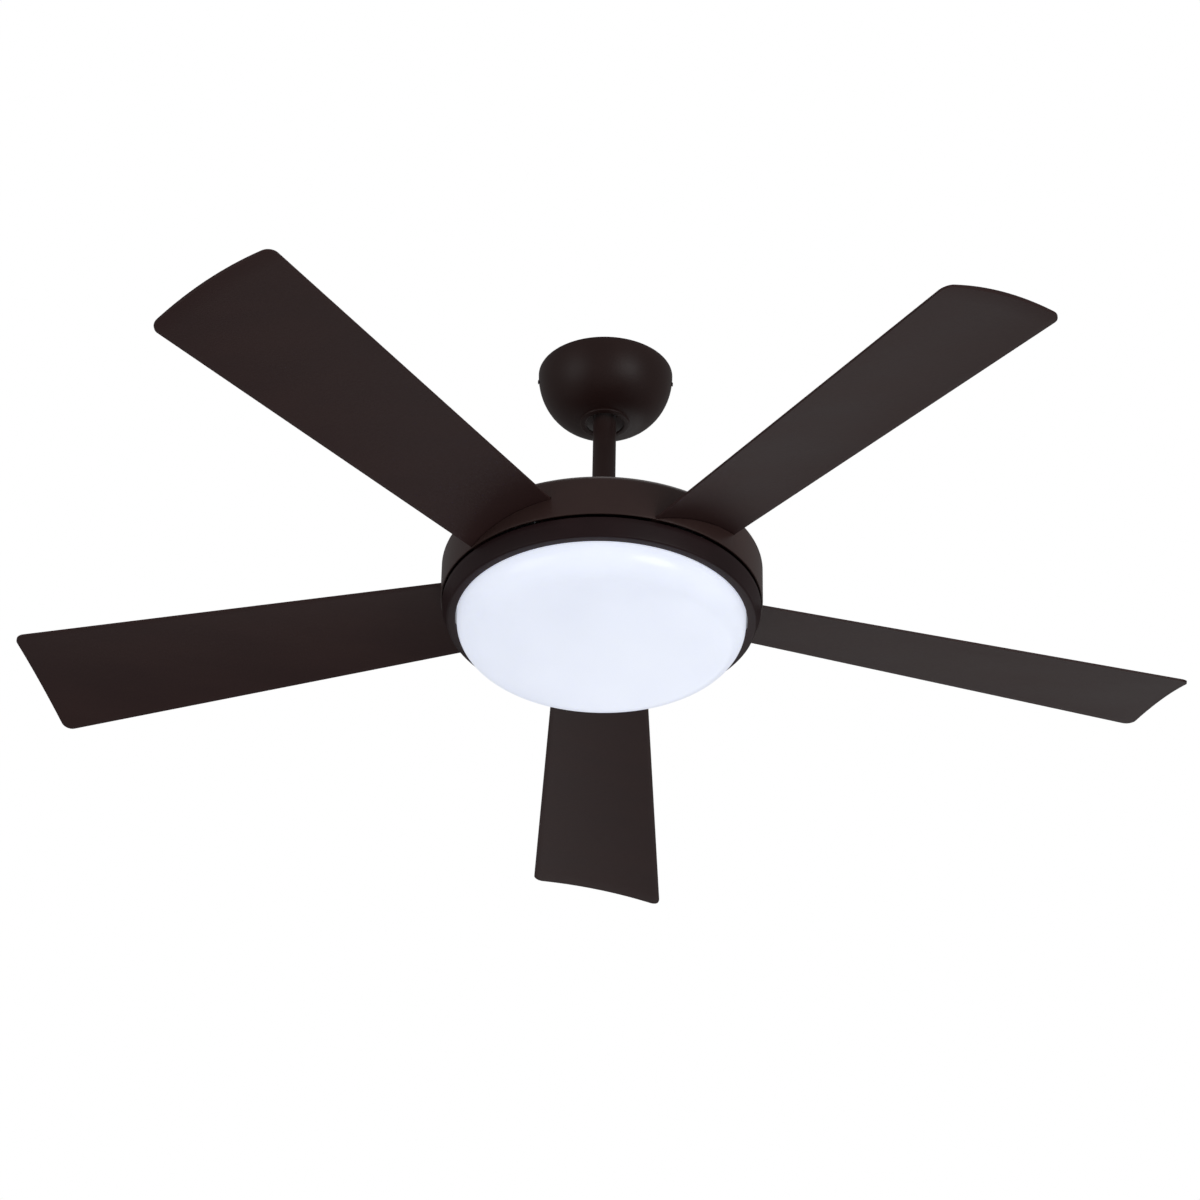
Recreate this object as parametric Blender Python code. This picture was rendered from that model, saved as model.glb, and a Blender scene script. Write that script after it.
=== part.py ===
"""Five-blade ceiling fan with a light, hanging from its ceiling bracket.

Frame: metres, +Z up, origin at the middle of the bracket's top face, on the ceiling.
The fan hangs towards -Z and spins about Z. One blade points along +Y.
"""
import math

import bmesh
import bpy
from mathutils import Matrix, Vector

# ---------------------------------------------------------------- driving dimensions
# Clearances
GAP = 0.0003                  # between pieces that touch
BORE_GAP = 0.0003             # between a shaft and its hole
SCREW_GAP = 0.0006            # between a screw or a stud and its hole
BLADE_SLOT_GAP = 0.0008       # round a blade where it passes through the drum wall
AIR_GAP = 0.0010              # between stator and magnets
RUNNING_GAP = 0.0025          # between the turning drum and the still trim ring

# Ceiling bracket
BRACKET_THICK = 0.0025
BRACKET_WIDTH = 0.030
LUG_BELOW_BOLT = 0.010        # from the hanger bolt's axis to a lug's lower end
TAB_BELOW_SCREW = 0.008       # from the canopy screw's axis to a tab's lower end
TAB_GAP = 0.00101             # from a tab's lower corner to the canopy
CANOPY_SCREW_DROP = 0.010
SLOT_OFFSET = 0.042
SLOT_LENGTH = 0.014
SLOT_WIDTH = 0.006

# Hanger bolt and its rubber washers
HANGER_DROP = 0.026
HANGER_BOLT_R = 0.004
HANGER_HEX_RIM = 0.0035       # from the bolt to a corner of its head
HANGER_HEX_H = 0.0055
HANGER_BOLT_TAIL = 0.012      # past the nut
WASHER_RIM = 0.0050
WASHER_THICK = 0.0039
PIN_R = 0.001
PIN_LENGTH = 0.016

# Canopy
CANOPY_TOP_R = 0.0730
CANOPY_FLAT_R = 0.0215
CANOPY_DEPTH = 0.0650
CANOPY_ROD_GAP = 0.0075       # round the rod, room for it to swing
CANOPY_WALL = 0.0015
CEILING_GAP = 0.0010          # from the ceiling to the canopy's rim

# Wiring
LEAD_R = 0.0020
LEAD_GAP = 0.0010             # from the hanger bolt to the lead inside the rod
RECEIVER = (0.056, 0.028, 0.018)
TONGUE = (0.020, 0.002)       # width and thickness of the receiver's fixing tongue
TONGUE_LENGTH = 0.012

# Downrod, coupling and its cover
ROD_R = 0.0125
ROD_WALL = 0.0020
ROD_ABOVE_BOLT = 0.010        # from the hanger bolt's axis to the rod's upper end
COUPLING_WALL = 0.0047
COUPLING_SOCKET = 0.026       # how deep the rod sits in it
COUPLING_FLOOR = 0.0135
COUPLING_BOLT_R = 0.003
COUPLING_HEX_R = 0.0055
COUPLING_HEX_H = 0.0040
COVER_ROOM = 0.0165           # from the coupling to the cover's lower edge
COVER_HEADROOM = 0.0077       # above the coupling
COVER_WALL = 0.0015
COVER_GAP = 0.0015            # above the turning drum

# Drum, the turning housing
DRUM_TOP_DROP = 0.2480
DRUM_R = 0.1700
DRUM_HEIGHT = 0.0495
DRUM_WALL = 0.0015
DRUM_EDGE_R = 0.0080
DRUM_HOLE_R = 0.0260
DRUM_SCREW_INSET = 0.018      # from the rotor cup's outside

# Motor
SHAFT_R = 0.0085
SHAFT_WALL = 0.0030
SHAFT_FLANGE_RIM = 0.0055
SHAFT_FLANGE_H = 0.0035
SHAFT_TAIL = 0.0040           # below the pan nut
CUP_R = 0.0780
CUP_WALL = 0.0030
CUP_ROOF = 0.0025
MAGNET_THICK = 0.0037
CORE_HEIGHT = 0.0140
CORE_HUB_R = 0.0400
TOOTH_COUNT = 12
TOOTH_WIDTH = 0.0070
TOOTH_TIP_DEPTH = 0.0035
TOOTH_TIP_SHARE = 0.82        # share of the pitch that a tooth's tip covers
WINDING_OVERHANG = 0.0040
WINDING_RIM_GAP = 0.0040
RACE_INNER_WALL = 0.0027
RACE_BALL_SPACE = 0.0015
RACE_OUTER_WALL = 0.0035
RACE_HEIGHT = 0.0062
SEAT_WALL = 0.0027
SEAT_LIP = 0.0020
END_COVER_RIM = 0.0150        # past the rotor cup
END_COVER_THICK = 0.0027

# Blades
BLADE_COUNT = 5
BLADE_START_ANGLE = math.radians(90)
BLADE_TIP_R = 0.6450
BLADE_INSERT = 0.0420         # length of blade inside the drum
BLADE_RISE = 0.0130           # from the drum's lower edge to the middle of the chord line
BLADE_PITCH = math.radians(12.0)
BLADE_ROOT_CHORD = 0.1040     # where it leaves the drum
BLADE_TIP_CHORD = 0.1520
BLADE_ROOT_CAMBER = 0.0045
BLADE_TIP_CAMBER = 0.0070
BLADE_THICK = 0.0045
BLADE_EDGE_THICK = 0.0024
BLADE_CORNER_R = 0.0110
BLADE_TIP_BULGE = 0.0020

# Blade arms, clamps and their fixings
ARM_WIDTH = 0.0440
ARM_THICK = 0.0025
ARM_DRUM_GAP = 0.0130         # from an arm's end to the drum
ARM_BEND_SHARE = 23 / 35      # of the space between end cover and blade root, in its middle
ARM_START_GAP = 0.0020        # outside the rotor cup
ARM_SCREW_INSET = 0.0070      # from the end cover's edge
CLAMP_LENGTH = 0.0220
CLAMP_WIDTH = 0.0560
CLAMP_THICK = 0.0020
STUD_PITCH = 0.0320
STUD_R = 0.0025
STUD_TAIL = 0.0030

# Small screws
SCREW_R = 0.0020
SCREW_HEAD_R = 0.0042
SCREW_HEAD_H = 0.0022
SCREW_CROWN_SHARE = 0.8       # of the head's radius, flat on top
PAN_SCREW_HEAD_R = 0.00336
CANOPY_SCREW_HEAD_R = 0.0032
CANOPY_SCREW_HEAD_H = 0.0006
SCREW_STICK_OUT = 0.0012      # past the last piece a screw holds

# Trim ring
RING_STEP = 0.0020            # inside the drum's side
RING_TAPER = 0.0045
RING_HEIGHT = 0.0210
RING_STRAIGHT = 0.0060
RING_WALL = 0.0020
RING_FLANGE_WIDTH = 0.0260
RING_LIP_WIDTH = 0.0101       # from the ring's lower edge to the diffuser's gap
RING_EDGE_R = 0.0025
RING_LENS_GAP = 0.0014

# Light pan and its fixings
PAN_THICK = 0.0015
PAN_INSET = 0.0100            # inside the trim ring's top
PAN_SCREW_INSET = 0.0040
PAN_NUT_RIM = 0.0055
PAN_NUT_H = 0.0060
HOOK_COUNT = 3
HOOK_ANGLE = math.radians(14)
HOOK_START_ANGLE = math.radians(30)
HOOK_WALL = 0.0020
HOOK_REACH = 0.0055
HOOK_DROP = 0.0117

# Diffuser
LENS_WALL = 0.0020
LENS_SKIRT_GAP = 0.0012       # below the pan screws' heads
LENS_PROUD = 0.0020           # straight wall seen below the ring
LENS_SHOULDER_R = 0.0280
LENS_DOME_R = 0.9000
LENS_LUG_REACH = 0.0040
LENS_LUG_THICK = 0.0033

# Light source
LED_BOARD_INSET = 0.0190      # inside the diffuser
LED_BOARD_ROOM = 0.008975     # between the driver's corner and the board
LED_BOARD_THICK = 0.0016
LED_DRIVER = (0.050, 0.066, 0.015)
LED_DRIVER_OFFSET = 0.0490

# Mesh steps
BIG_STEPS = 36
MOTOR_STEPS = 24
ROD_STEPS = 16
SMALL_STEPS = 12
SCREW_STEPS = 6
PEG_TURN = math.radians(9)    # keeps a hole's corners off the edges of the piece it cuts
CUT_PAST = 0.001              # how far a cutter reaches past a thin piece
CUT_ACROSS = 0.01             # and past a thick or a curved one

# ---------------------------------------------------------------- derived heights
HANGER_Z = -HANGER_DROP
LUG_END_Z = HANGER_Z - LUG_BELOW_BOLT
TAB_END_Z = -CANOPY_SCREW_DROP - TAB_BELOW_SCREW
ROD_TOP_Z = HANGER_Z + ROD_ABOVE_BOLT
DRUM_TOP_Z = -DRUM_TOP_DROP
DRUM_BOTTOM_Z = DRUM_TOP_Z - DRUM_HEIGHT
DRUM_ROOF_Z = DRUM_TOP_Z - DRUM_WALL
CUP_TOP_Z = DRUM_ROOF_Z - GAP
CUP_ROOF_Z = CUP_TOP_Z - CUP_ROOF
RACE_TOP_Z = CUP_ROOF_Z - GAP
UPPER_RACE_BOTTOM_Z = RACE_TOP_Z - RACE_HEIGHT
CORE_TOP_Z = UPPER_RACE_BOTTOM_Z - AIR_GAP
CORE_BOTTOM_Z = CORE_TOP_Z - CORE_HEIGHT
LOWER_RACE_TOP_Z = CORE_BOTTOM_Z - AIR_GAP
LOWER_RACE_BOTTOM_Z = LOWER_RACE_TOP_Z - RACE_HEIGHT
COVER_TOP_Z = LOWER_RACE_BOTTOM_Z - GAP
COVER_UNDER_Z = COVER_TOP_Z - END_COVER_THICK
WINDING_TOP_Z = CORE_TOP_Z + WINDING_OVERHANG
WINDING_BOTTOM_Z = CORE_BOTTOM_Z - WINDING_OVERHANG
RING_TOP_Z = DRUM_BOTTOM_Z - RUNNING_GAP
RING_BOTTOM_Z = RING_TOP_Z - RING_HEIGHT
PAN_TOP_Z = RING_TOP_Z - RING_WALL - GAP
PAN_UNDER_Z = PAN_TOP_Z - PAN_THICK
NUT_TOP_Z = PAN_UNDER_Z - GAP
NUT_BOTTOM_Z = NUT_TOP_Z - PAN_NUT_H
SHAFT_BOTTOM_Z = NUT_BOTTOM_Z - SHAFT_TAIL
COUPLING_BOTTOM_Z = DRUM_TOP_Z + 2 * COVER_GAP
COUPLING_STEP_Z = COUPLING_BOTTOM_Z + COUPLING_FLOOR
ROD_BOTTOM_Z = COUPLING_STEP_Z + GAP
COUPLING_TOP_Z = ROD_BOTTOM_Z + COUPLING_SOCKET
COUPLING_BOLT_Z = ROD_BOTTOM_Z + COUPLING_SOCKET / 2
SHAFT_TOP_Z = COUPLING_STEP_Z - GAP
COUPLING_COVER_Z = DRUM_TOP_Z + COVER_GAP
COVER_HEIGHT = COUPLING_TOP_Z + COVER_HEADROOM - COUPLING_COVER_Z
LENS_WALL_TOP_Z = PAN_UNDER_Z - GAP - SCREW_HEAD_H - LENS_SKIRT_GAP
LENS_WALL_END_Z = RING_BOTTOM_Z - LENS_PROUD
HOOK_FOOT_TOP_Z = PAN_UNDER_Z - HOOK_DROP + HOOK_WALL
BLADE_Z = DRUM_BOTTOM_Z + BLADE_RISE

# Derived radii
CANOPY_HOLE_R = ROD_R + CANOPY_ROD_GAP
LUG_INNER = ROD_R + WASHER_THICK + 2 * GAP
HANGER_HEX_R = HANGER_BOLT_R + HANGER_HEX_RIM
WASHER_R = HANGER_BOLT_R + WASHER_RIM
LEAD_OFFSET = HANGER_BOLT_R + LEAD_GAP + LEAD_R
COUPLING_R = ROD_R + BORE_GAP + COUPLING_WALL
COVER_R = COUPLING_R + COVER_ROOM
SHAFT_BORE_R = SHAFT_R - SHAFT_WALL
SHAFT_FLANGE_R = SHAFT_R + SHAFT_FLANGE_RIM
PAN_NUT_R = SHAFT_R + PAN_NUT_RIM
DRUM_SCREW_PCD_R = CUP_R - DRUM_SCREW_INSET
END_COVER_R = CUP_R + END_COVER_RIM
BLADE_ROOT_R = DRUM_R - BLADE_INSERT
ARM_OUTER_R = DRUM_R - ARM_DRUM_GAP
ARM_BEND_HALF = (BLADE_ROOT_R - END_COVER_R) * ARM_BEND_SHARE / 2
ARM_BEND_START = (BLADE_ROOT_R + END_COVER_R) / 2 - ARM_BEND_HALF
ARM_BEND_END = (BLADE_ROOT_R + END_COVER_R) / 2 + ARM_BEND_HALF
RING_TOP_R = DRUM_R - RING_STEP
RING_BOTTOM_R = RING_TOP_R - RING_TAPER
RING_FLANGE_R = RING_TOP_R - RING_FLANGE_WIDTH
LENS_R = RING_BOTTOM_R - RING_LIP_WIDTH - RING_LENS_GAP
PAN_R = RING_TOP_R - PAN_INSET
PAN_SCREW_PCD_R = PAN_R - PAN_SCREW_INSET
LED_BOARD_R = LENS_R - LED_BOARD_INSET
LED_BOARD_HOLE_R = math.hypot(LED_DRIVER_OFFSET + LED_DRIVER[0] / 2, LED_DRIVER[1] / 2) + LED_BOARD_ROOM
SHAFT_FIT_R = SHAFT_R + BORE_GAP
RACE_INNER_R = SHAFT_FIT_R + RACE_INNER_WALL
RACE_BALL_R = RACE_INNER_R + RACE_BALL_SPACE
RACE_R = RACE_BALL_R + RACE_OUTER_WALL
SEAT_R = RACE_R + BORE_GAP
SEAT_OUTER_R = SEAT_R + SEAT_WALL
LIP_R = RACE_R - SEAT_LIP
MAGNET_R = CUP_R - CUP_WALL - BORE_GAP
CORE_R = MAGNET_R - MAGNET_THICK - AIR_GAP
TIP_START_R = CORE_R - TOOTH_TIP_DEPTH
LENS_INNER_R = LENS_R - LENS_WALL
HOOK_OUTER_R = LENS_INNER_R - BORE_GAP - AIR_GAP
LUG_OUTER = LUG_INNER + BRACKET_THICK
RECEIVER_START = BRACKET_WIDTH / 2 + 2 * TONGUE[1]
CANOPY_INNER_DEPTH = CANOPY_DEPTH - CEILING_GAP - CANOPY_WALL
TAB_LEVEL = math.sqrt(1 - ((-TAB_END_Z - CEILING_GAP) / CANOPY_INNER_DEPTH) ** 2)
CANOPY_TAB_R = CANOPY_FLAT_R + (CANOPY_TOP_R - CANOPY_FLAT_R - CANOPY_WALL) * TAB_LEVEL
BRACKET_HALF = math.sqrt(CANOPY_TAB_R ** 2 - (BRACKET_WIDTH / 2) ** 2) - TAB_GAP


# ---------------------------------------------------------------- helpers
def clear_scene():
    for thing in list(bpy.data.objects):
        bpy.data.objects.remove(thing, do_unlink=True)


def finish(name, colour, roughness, metallic=0.0):
    """A Principled material with one plain colour."""
    made = bpy.data.materials.new(name)
    made.use_nodes = True
    shader = made.node_tree.nodes["Principled BSDF"]
    shader.inputs["Base Color"].default_value = (*colour, 1.0)
    shader.inputs["Roughness"].default_value = roughness
    shader.inputs["Metallic"].default_value = metallic
    made.diffuse_color = (*colour, 1.0)
    return made


def axis_empty(name, height, parent=None):
    """An empty on a joint's axis, which carries the pieces that move with it."""
    empty = bpy.data.objects.new(name, None)
    empty.empty_display_size = 0.05
    empty["height"] = height
    empty.location = (0, 0, height - (parent["height"] if parent else 0.0))
    empty.parent = parent
    bpy.context.collection.objects.link(empty)
    return empty


def solid(name, shape, surface=None):
    """Turn a bmesh into an object, closed and facing outwards."""
    bmesh.ops.remove_doubles(shape, verts=shape.verts, dist=1e-6)
    bmesh.ops.recalc_face_normals(shape, faces=shape.faces)
    mesh = bpy.data.meshes.new(name)
    shape.to_mesh(mesh)
    shape.free()
    made = bpy.data.objects.new(name, mesh)
    bpy.context.collection.objects.link(made)
    if surface:
        mesh.materials.append(surface)
    return made


def smooth(thing, angle=35):
    thing.data.shade_smooth()
    thing.data.set_sharp_from_angle(angle=math.radians(angle))


def hang(thing, empty, point=(0, 0, 0), direction=None, turn=0.0):
    """Parent a piece to its joint's empty and place it in the ceiling frame."""
    thing.parent = empty
    thing.location = Vector(point) - Vector((0, 0, empty["height"] if empty else 0.0))
    if direction:
        thing.rotation_euler = Vector(direction).to_track_quat("Z", "Y").to_euler()
    elif turn:
        thing.rotation_euler = (0, 0, turn)
    return thing


def swept(name, profile, steps, surface=None, start=0.0, sweep=math.tau):
    """Spin a closed outline of (radius, height) points about Z."""
    shape = bmesh.new()
    spin_start = Matrix.Rotation(start, 3, "Z")
    points = [shape.verts.new(spin_start @ Vector((r, 0, z))) for r, z in profile]
    edges = []
    for here, there in zip(points, points[1:] + points[:1]):
        if here.co.xy.length > 1e-9 or there.co.xy.length > 1e-9:
            edges.append(shape.edges.new((here, there)))
    whole = sweep > math.tau - 1e-6
    bmesh.ops.spin(shape, geom=points + edges, axis=(0, 0, 1), cent=(0, 0, 0),
                   angle=sweep, steps=steps, use_merge=whole)
    bmesh.ops.remove_doubles(shape, verts=shape.verts, dist=1e-6)
    if not whole:
        bmesh.ops.holes_fill(shape, edges=[e for e in shape.edges if e.is_boundary])
    made = solid(name, shape, surface)
    smooth(made)
    return made


def block(name, low, high, surface=None):
    shape = bmesh.new()
    size = Vector(high) - Vector(low)
    place = Matrix.Translation((Vector(low) + Vector(high)) / 2) @ Matrix.Diagonal((*size, 1))
    bmesh.ops.create_cube(shape, size=1.0, matrix=place)
    return solid(name, shape, surface)


def peg(name, radius, start, end, steps=SCREW_STEPS, surface=None):
    """A plain round bar between two points."""
    line = Vector(end) - Vector(start)
    turn = line.to_track_quat("Z", "Y").to_matrix().to_4x4() @ Matrix.Rotation(PEG_TURN, 4, "Z")
    place = Matrix.Translation((Vector(start) + Vector(end)) / 2) @ turn
    shape = bmesh.new()
    bmesh.ops.create_cone(shape, cap_ends=True, segments=steps, radius1=radius, radius2=radius,
                          depth=line.length, matrix=place)
    return solid(name, shape, surface)


def outline(name, points, low, high, surface=None):
    """Extrude a flat outline of (x, y) points from one height to another."""
    shape = bmesh.new()
    face = shape.faces.new([shape.verts.new((x, y, low)) for x, y in points])
    raised = bmesh.ops.extrude_face_region(shape, geom=[face])
    top = [v for v in raised["geom"] if isinstance(v, bmesh.types.BMVert)]
    bmesh.ops.translate(shape, verts=top, vec=(0, 0, high - low))
    return solid(name, shape, surface)


def plate(name, rows, columns, lower, upper, surface=None):
    """A closed curved plate. lower and upper give a point for each row and column."""
    shape = bmesh.new()
    under = [[shape.verts.new(lower(row, column)) for column in columns] for row in rows]
    over = [[shape.verts.new(upper(row, column)) for column in columns] for row in rows]
    last_row = len(rows) - 1
    last_column = len(columns) - 1
    for i in range(last_row):
        for j in range(last_column):
            shape.faces.new((over[i][j], over[i + 1][j], over[i + 1][j + 1], over[i][j + 1]))
            shape.faces.new((under[i][j], under[i][j + 1], under[i + 1][j + 1], under[i + 1][j]))
    for j in range(last_column):
        for i in (0, last_row):
            shape.faces.new((under[i][j], over[i][j], over[i][j + 1], under[i][j + 1]))
    for i in range(last_row):
        for j in (0, last_column):
            shape.faces.new((under[i][j], over[i][j], over[i + 1][j], under[i + 1][j]))
    return solid(name, shape, surface)


def combine(target, others, operation):
    """Cut or join other shapes with exact Booleans, then drop them."""
    for other in others:
        step = target.modifiers.new(other.name, "BOOLEAN")
        step.operation = operation
        step.solver = "EXACT"
        step.object = other
    bpy.context.view_layer.update()
    seen = target.evaluated_get(bpy.context.evaluated_depsgraph_get())
    mesh = bpy.data.meshes.new_from_object(seen)
    target.modifiers.clear()
    target.data = mesh
    mesh.name = target.name
    for other in others:
        bpy.data.objects.remove(other, do_unlink=True)
    return target


def cut(target, *cutters):
    return combine(target, cutters, "DIFFERENCE")


def join(target, *others):
    return combine(target, others, "UNION")


def screw(name, head_r, head_h, shank_r, length, surface):
    """A screw whose head sits on its own origin and whose shank runs down -Z."""
    profile = [(0, head_h), (head_r * SCREW_CROWN_SHARE, head_h), (head_r, 0), (shank_r, 0),
               (shank_r, -length), (0, -length)]
    return swept(name, profile, SCREW_STEPS, surface)


def hexagon(radius):
    """Corners of a hexagon round the origin."""
    return [(radius * math.cos(math.tau * k / 6), radius * math.sin(math.tau * k / 6)) for k in range(6)]


def upright_hole(x, y, low, high):
    """A cutter for a small screw's hole along Z, through a piece between two heights."""
    return peg("hole", SCREW_R + SCREW_GAP, (x, y, low - CUT_PAST), (x, y, high + CUT_PAST))


def hex_nut(name, across_r, height, bore_r, surface, steps=SMALL_STEPS):
    """A hexagon nut standing on its own origin, bored through."""
    body = outline(name, hexagon(across_r), 0, height, surface)
    return cut(body, peg("bore", bore_r, (0, 0, -height), (0, 0, 2 * height), steps))


def hex_bolt(name, across_r, head_h, shank_r, length, surface):
    """A hexagon bolt whose head sits above its origin and whose shank runs down -Z."""
    head = outline(name, hexagon(across_r), 0, head_h, surface)
    return join(head, peg("shank", shank_r, (0, 0, head_h / 2), (0, 0, -length), SMALL_STEPS))


def arc(centre, radius, start, end, count):
    """Points along an arc, as (radius, height) pairs."""
    turns = [start + (end - start) * k / (count - 1) for k in range(count)]
    return [turned(centre, radius, t) for t in turns]


def turned(centre, radius, angle):
    """The (radius, height) point at an angle on an arc."""
    return centre[0] + radius * math.cos(angle), centre[1] + radius * math.sin(angle)


# ---------------------------------------------------------------- blade surface
def half_chord(radius):
    """Half of the blade's width at a distance from the spin axis, corners left out."""
    along = (radius - DRUM_R) / (BLADE_TIP_R - DRUM_R)
    return (BLADE_ROOT_CHORD + (BLADE_TIP_CHORD - BLADE_ROOT_CHORD) * along) / 2


def blade_point(radius, across, height=0.0):
    """A point on the blade: across is along the chord, height is square to it."""
    along = (radius - DRUM_R) / (BLADE_TIP_R - DRUM_R)
    rise = BLADE_ROOT_CAMBER + (BLADE_TIP_CAMBER - BLADE_ROOT_CAMBER) * along
    lift = height + rise * (1 - (across / half_chord(radius)) ** 2)
    y = across * math.cos(BLADE_PITCH) - lift * math.sin(BLADE_PITCH)
    z = BLADE_Z + across * math.sin(BLADE_PITCH) + lift * math.cos(BLADE_PITCH)
    return Vector((radius, y, z))


def half_thick(share):
    """Half of the blade's thickness. share is 0 in the middle and 1 at an edge."""
    return (BLADE_EDGE_THICK + (BLADE_THICK - BLADE_EDGE_THICK) * (1 - share ** 2)) / 2


def blade_row(turn):
    """Distance and half width of a row, turned round the tip corner by an angle."""
    radius = BLADE_TIP_R - BLADE_CORNER_R * (1 - math.sin(turn))
    width = half_chord(radius) - BLADE_CORNER_R * (1 - math.cos(turn))
    return radius, width, math.sin(turn)


def stud_line(across):
    """Direction square to the blade, and the place of a clamp's stud on it."""
    square = Vector((0, -math.sin(BLADE_PITCH), math.cos(BLADE_PITCH)))
    middle = (ARM_OUTER_R + BLADE_ROOT_R) / 2
    return blade_point(middle, across), square


# ---------------------------------------------------------------- finishes
def make_finishes():
    return {
        "bronze": finish("bronze_paint", (0.030, 0.021, 0.018), 0.42, 0.25),
        "blade": finish("blade_lacquer", (0.034, 0.023, 0.020), 0.48),
        "opal": finish("opal_acrylic", (0.86, 0.89, 0.93), 0.25),
        "steel": finish("zinc_steel", (0.55, 0.55, 0.56), 0.35, 1.0),
        "core": finish("core_steel", (0.20, 0.20, 0.21), 0.45, 0.9),
        "copper": finish("enamelled_copper", (0.55, 0.22, 0.09), 0.35, 1.0),
        "magnet": finish("ferrite", (0.05, 0.05, 0.055), 0.6, 0.2),
        "aluminium": finish("cast_aluminium", (0.60, 0.60, 0.61), 0.40, 1.0),
        "white": finish("white_enamel", (0.85, 0.85, 0.84), 0.45),
        "plastic": finish("moulded_plastic", (0.75, 0.75, 0.73), 0.50),
        "rubber": finish("rubber", (0.02, 0.02, 0.02), 0.80),
        "board": finish("led_board", (0.88, 0.88, 0.86), 0.40),
        "sheath": finish("cable_sheath", (0.80, 0.80, 0.78), 0.55),
    }


# ---------------------------------------------------------------- ceiling mount
def make_bracket(f):
    """A strip with two lugs for the bolt and two bent tabs for the canopy's screws."""
    t = BRACKET_THICK
    w = BRACKET_WIDTH / 2
    strip = block("ceiling_bracket", (-BRACKET_HALF, -w, -t), (BRACKET_HALF, w, 0), f["steel"])
    # The bent pieces start inside the strip, so that they join it as one piece.
    for side in (-1, 1):
        lug = sorted((side * LUG_INNER, side * LUG_OUTER))
        tab = sorted((side * (BRACKET_HALF - t), side * BRACKET_HALF))
        join(strip, block("lug", (lug[0], -w, LUG_END_Z), (lug[1], w, -t / 2)))
        join(strip, block("tab", (tab[0], -w, TAB_END_Z), (tab[1], w, -t / 2)))
        slot = [(side * SLOT_OFFSET + SLOT_LENGTH / 2 * sx, SLOT_WIDTH / 2 * sy)
                for sx, sy in ((-1, -1), (1, -1), (1, 1), (-1, 1))]
        cut(strip, outline("slot", slot, -2 * t, t))
    reach = BRACKET_HALF + t
    cut(strip, peg("bolt_hole", HANGER_BOLT_R + BORE_GAP, (-LUG_OUTER - t, 0, HANGER_Z),
                   (LUG_OUTER + t, 0, HANGER_Z), SMALL_STEPS))
    cut(strip, peg("screw_hole", SCREW_R + SCREW_GAP, (-reach, 0, -CANOPY_SCREW_DROP),
                   (-LUG_OUTER - t, 0, -CANOPY_SCREW_DROP)))
    cut(strip, peg("screw_hole", SCREW_R + SCREW_GAP, (LUG_OUTER + t, 0, -CANOPY_SCREW_DROP),
                   (reach, 0, -CANOPY_SCREW_DROP)))
    return strip


def make_hanger_bolt(f):
    length = 2 * LUG_OUTER + 2 * GAP + HANGER_HEX_H + HANGER_BOLT_TAIL
    bolt = hex_bolt("hanger_bolt", HANGER_HEX_R, HANGER_HEX_H, HANGER_BOLT_R, length, f["steel"])
    hang(bolt, None, (-LUG_OUTER - GAP, 0, HANGER_Z), (-1, 0, 0))
    nut = hex_nut("hanger_nut", HANGER_HEX_R, HANGER_HEX_H, HANGER_BOLT_R + BORE_GAP, f["steel"])
    hang(nut, None, (LUG_OUTER + GAP, 0, HANGER_Z), (1, 0, 0))
    pin_x = LUG_OUTER + HANGER_HEX_H + HANGER_BOLT_TAIL / 2
    bpy.context.view_layer.update()
    bore = peg("pin_hole", PIN_R + BORE_GAP, (pin_x, 0, HANGER_Z - CUT_ACROSS),
               (pin_x, 0, HANGER_Z + CUT_ACROSS))
    cut(bolt, bore)
    pin = screw("split_pin", 2 * PIN_R, 2 * PIN_R, PIN_R, PIN_LENGTH, f["steel"])
    hang(pin, None, (pin_x, 0, HANGER_Z + HANGER_BOLT_R + GAP))


def make_canopy(f):
    """A shallow bowl, open at the ceiling, with a round hole for the rod."""
    top = -CEILING_GAP
    depth = CANOPY_DEPTH - CEILING_GAP
    side = CANOPY_TOP_R - CANOPY_FLAT_R
    turns = [math.radians(a) for a in (0, 18, 36, 54, 72, 90)]
    outer = [(CANOPY_FLAT_R + side * math.cos(a), top - depth * math.sin(a)) for a in turns]
    inner = [(CANOPY_FLAT_R + (side - CANOPY_WALL) * math.cos(a), top - (depth - CANOPY_WALL) * math.sin(a))
             for a in turns]
    hole = [(CANOPY_HOLE_R, outer[-1][1]), (CANOPY_HOLE_R, inner[-1][1])]
    bowl = swept("canopy", outer + hole + inner[::-1], BIG_STEPS, f["bronze"])
    height = -CANOPY_SCREW_DROP
    turn = math.asin((CANOPY_SCREW_DROP - CEILING_GAP) / depth)
    wall_x = CANOPY_FLAT_R + side * math.cos(turn)
    for side_name, sign in (("left", -1), ("right", 1)):
        start = sign * (wall_x - CUT_ACROSS)
        end = sign * (wall_x + CUT_ACROSS)
        cut(bowl, peg("hole", SCREW_R + SCREW_GAP, (start, 0, height), (end, 0, height)))
        length = wall_x - BRACKET_HALF + 2 * BRACKET_THICK
        fix = screw("canopy_screw_" + side_name, CANOPY_SCREW_HEAD_R, CANOPY_SCREW_HEAD_H, SCREW_R, length,
                    f["bronze"])
        hang(fix, None, (sign * (wall_x + 2 * GAP), 0, height), (sign, 0, 0))
    smooth(bowl)


def make_receiver(f):
    """The receiver with its terminals, hung from the bracket by a tongue."""
    x, y, z = RECEIVER
    top = -BRACKET_THICK - GAP
    near = RECEIVER_START
    box = block("remote_receiver", (-x / 2, near, top - z), (x / 2, near + y, top), f["plastic"])
    tip = near - TONGUE_LENGTH
    join(box, block("tongue", (-TONGUE[0] / 2, tip, top - TONGUE[1]),
                    (TONGUE[0] / 2, near + TONGUE[1], top - GAP)))


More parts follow.
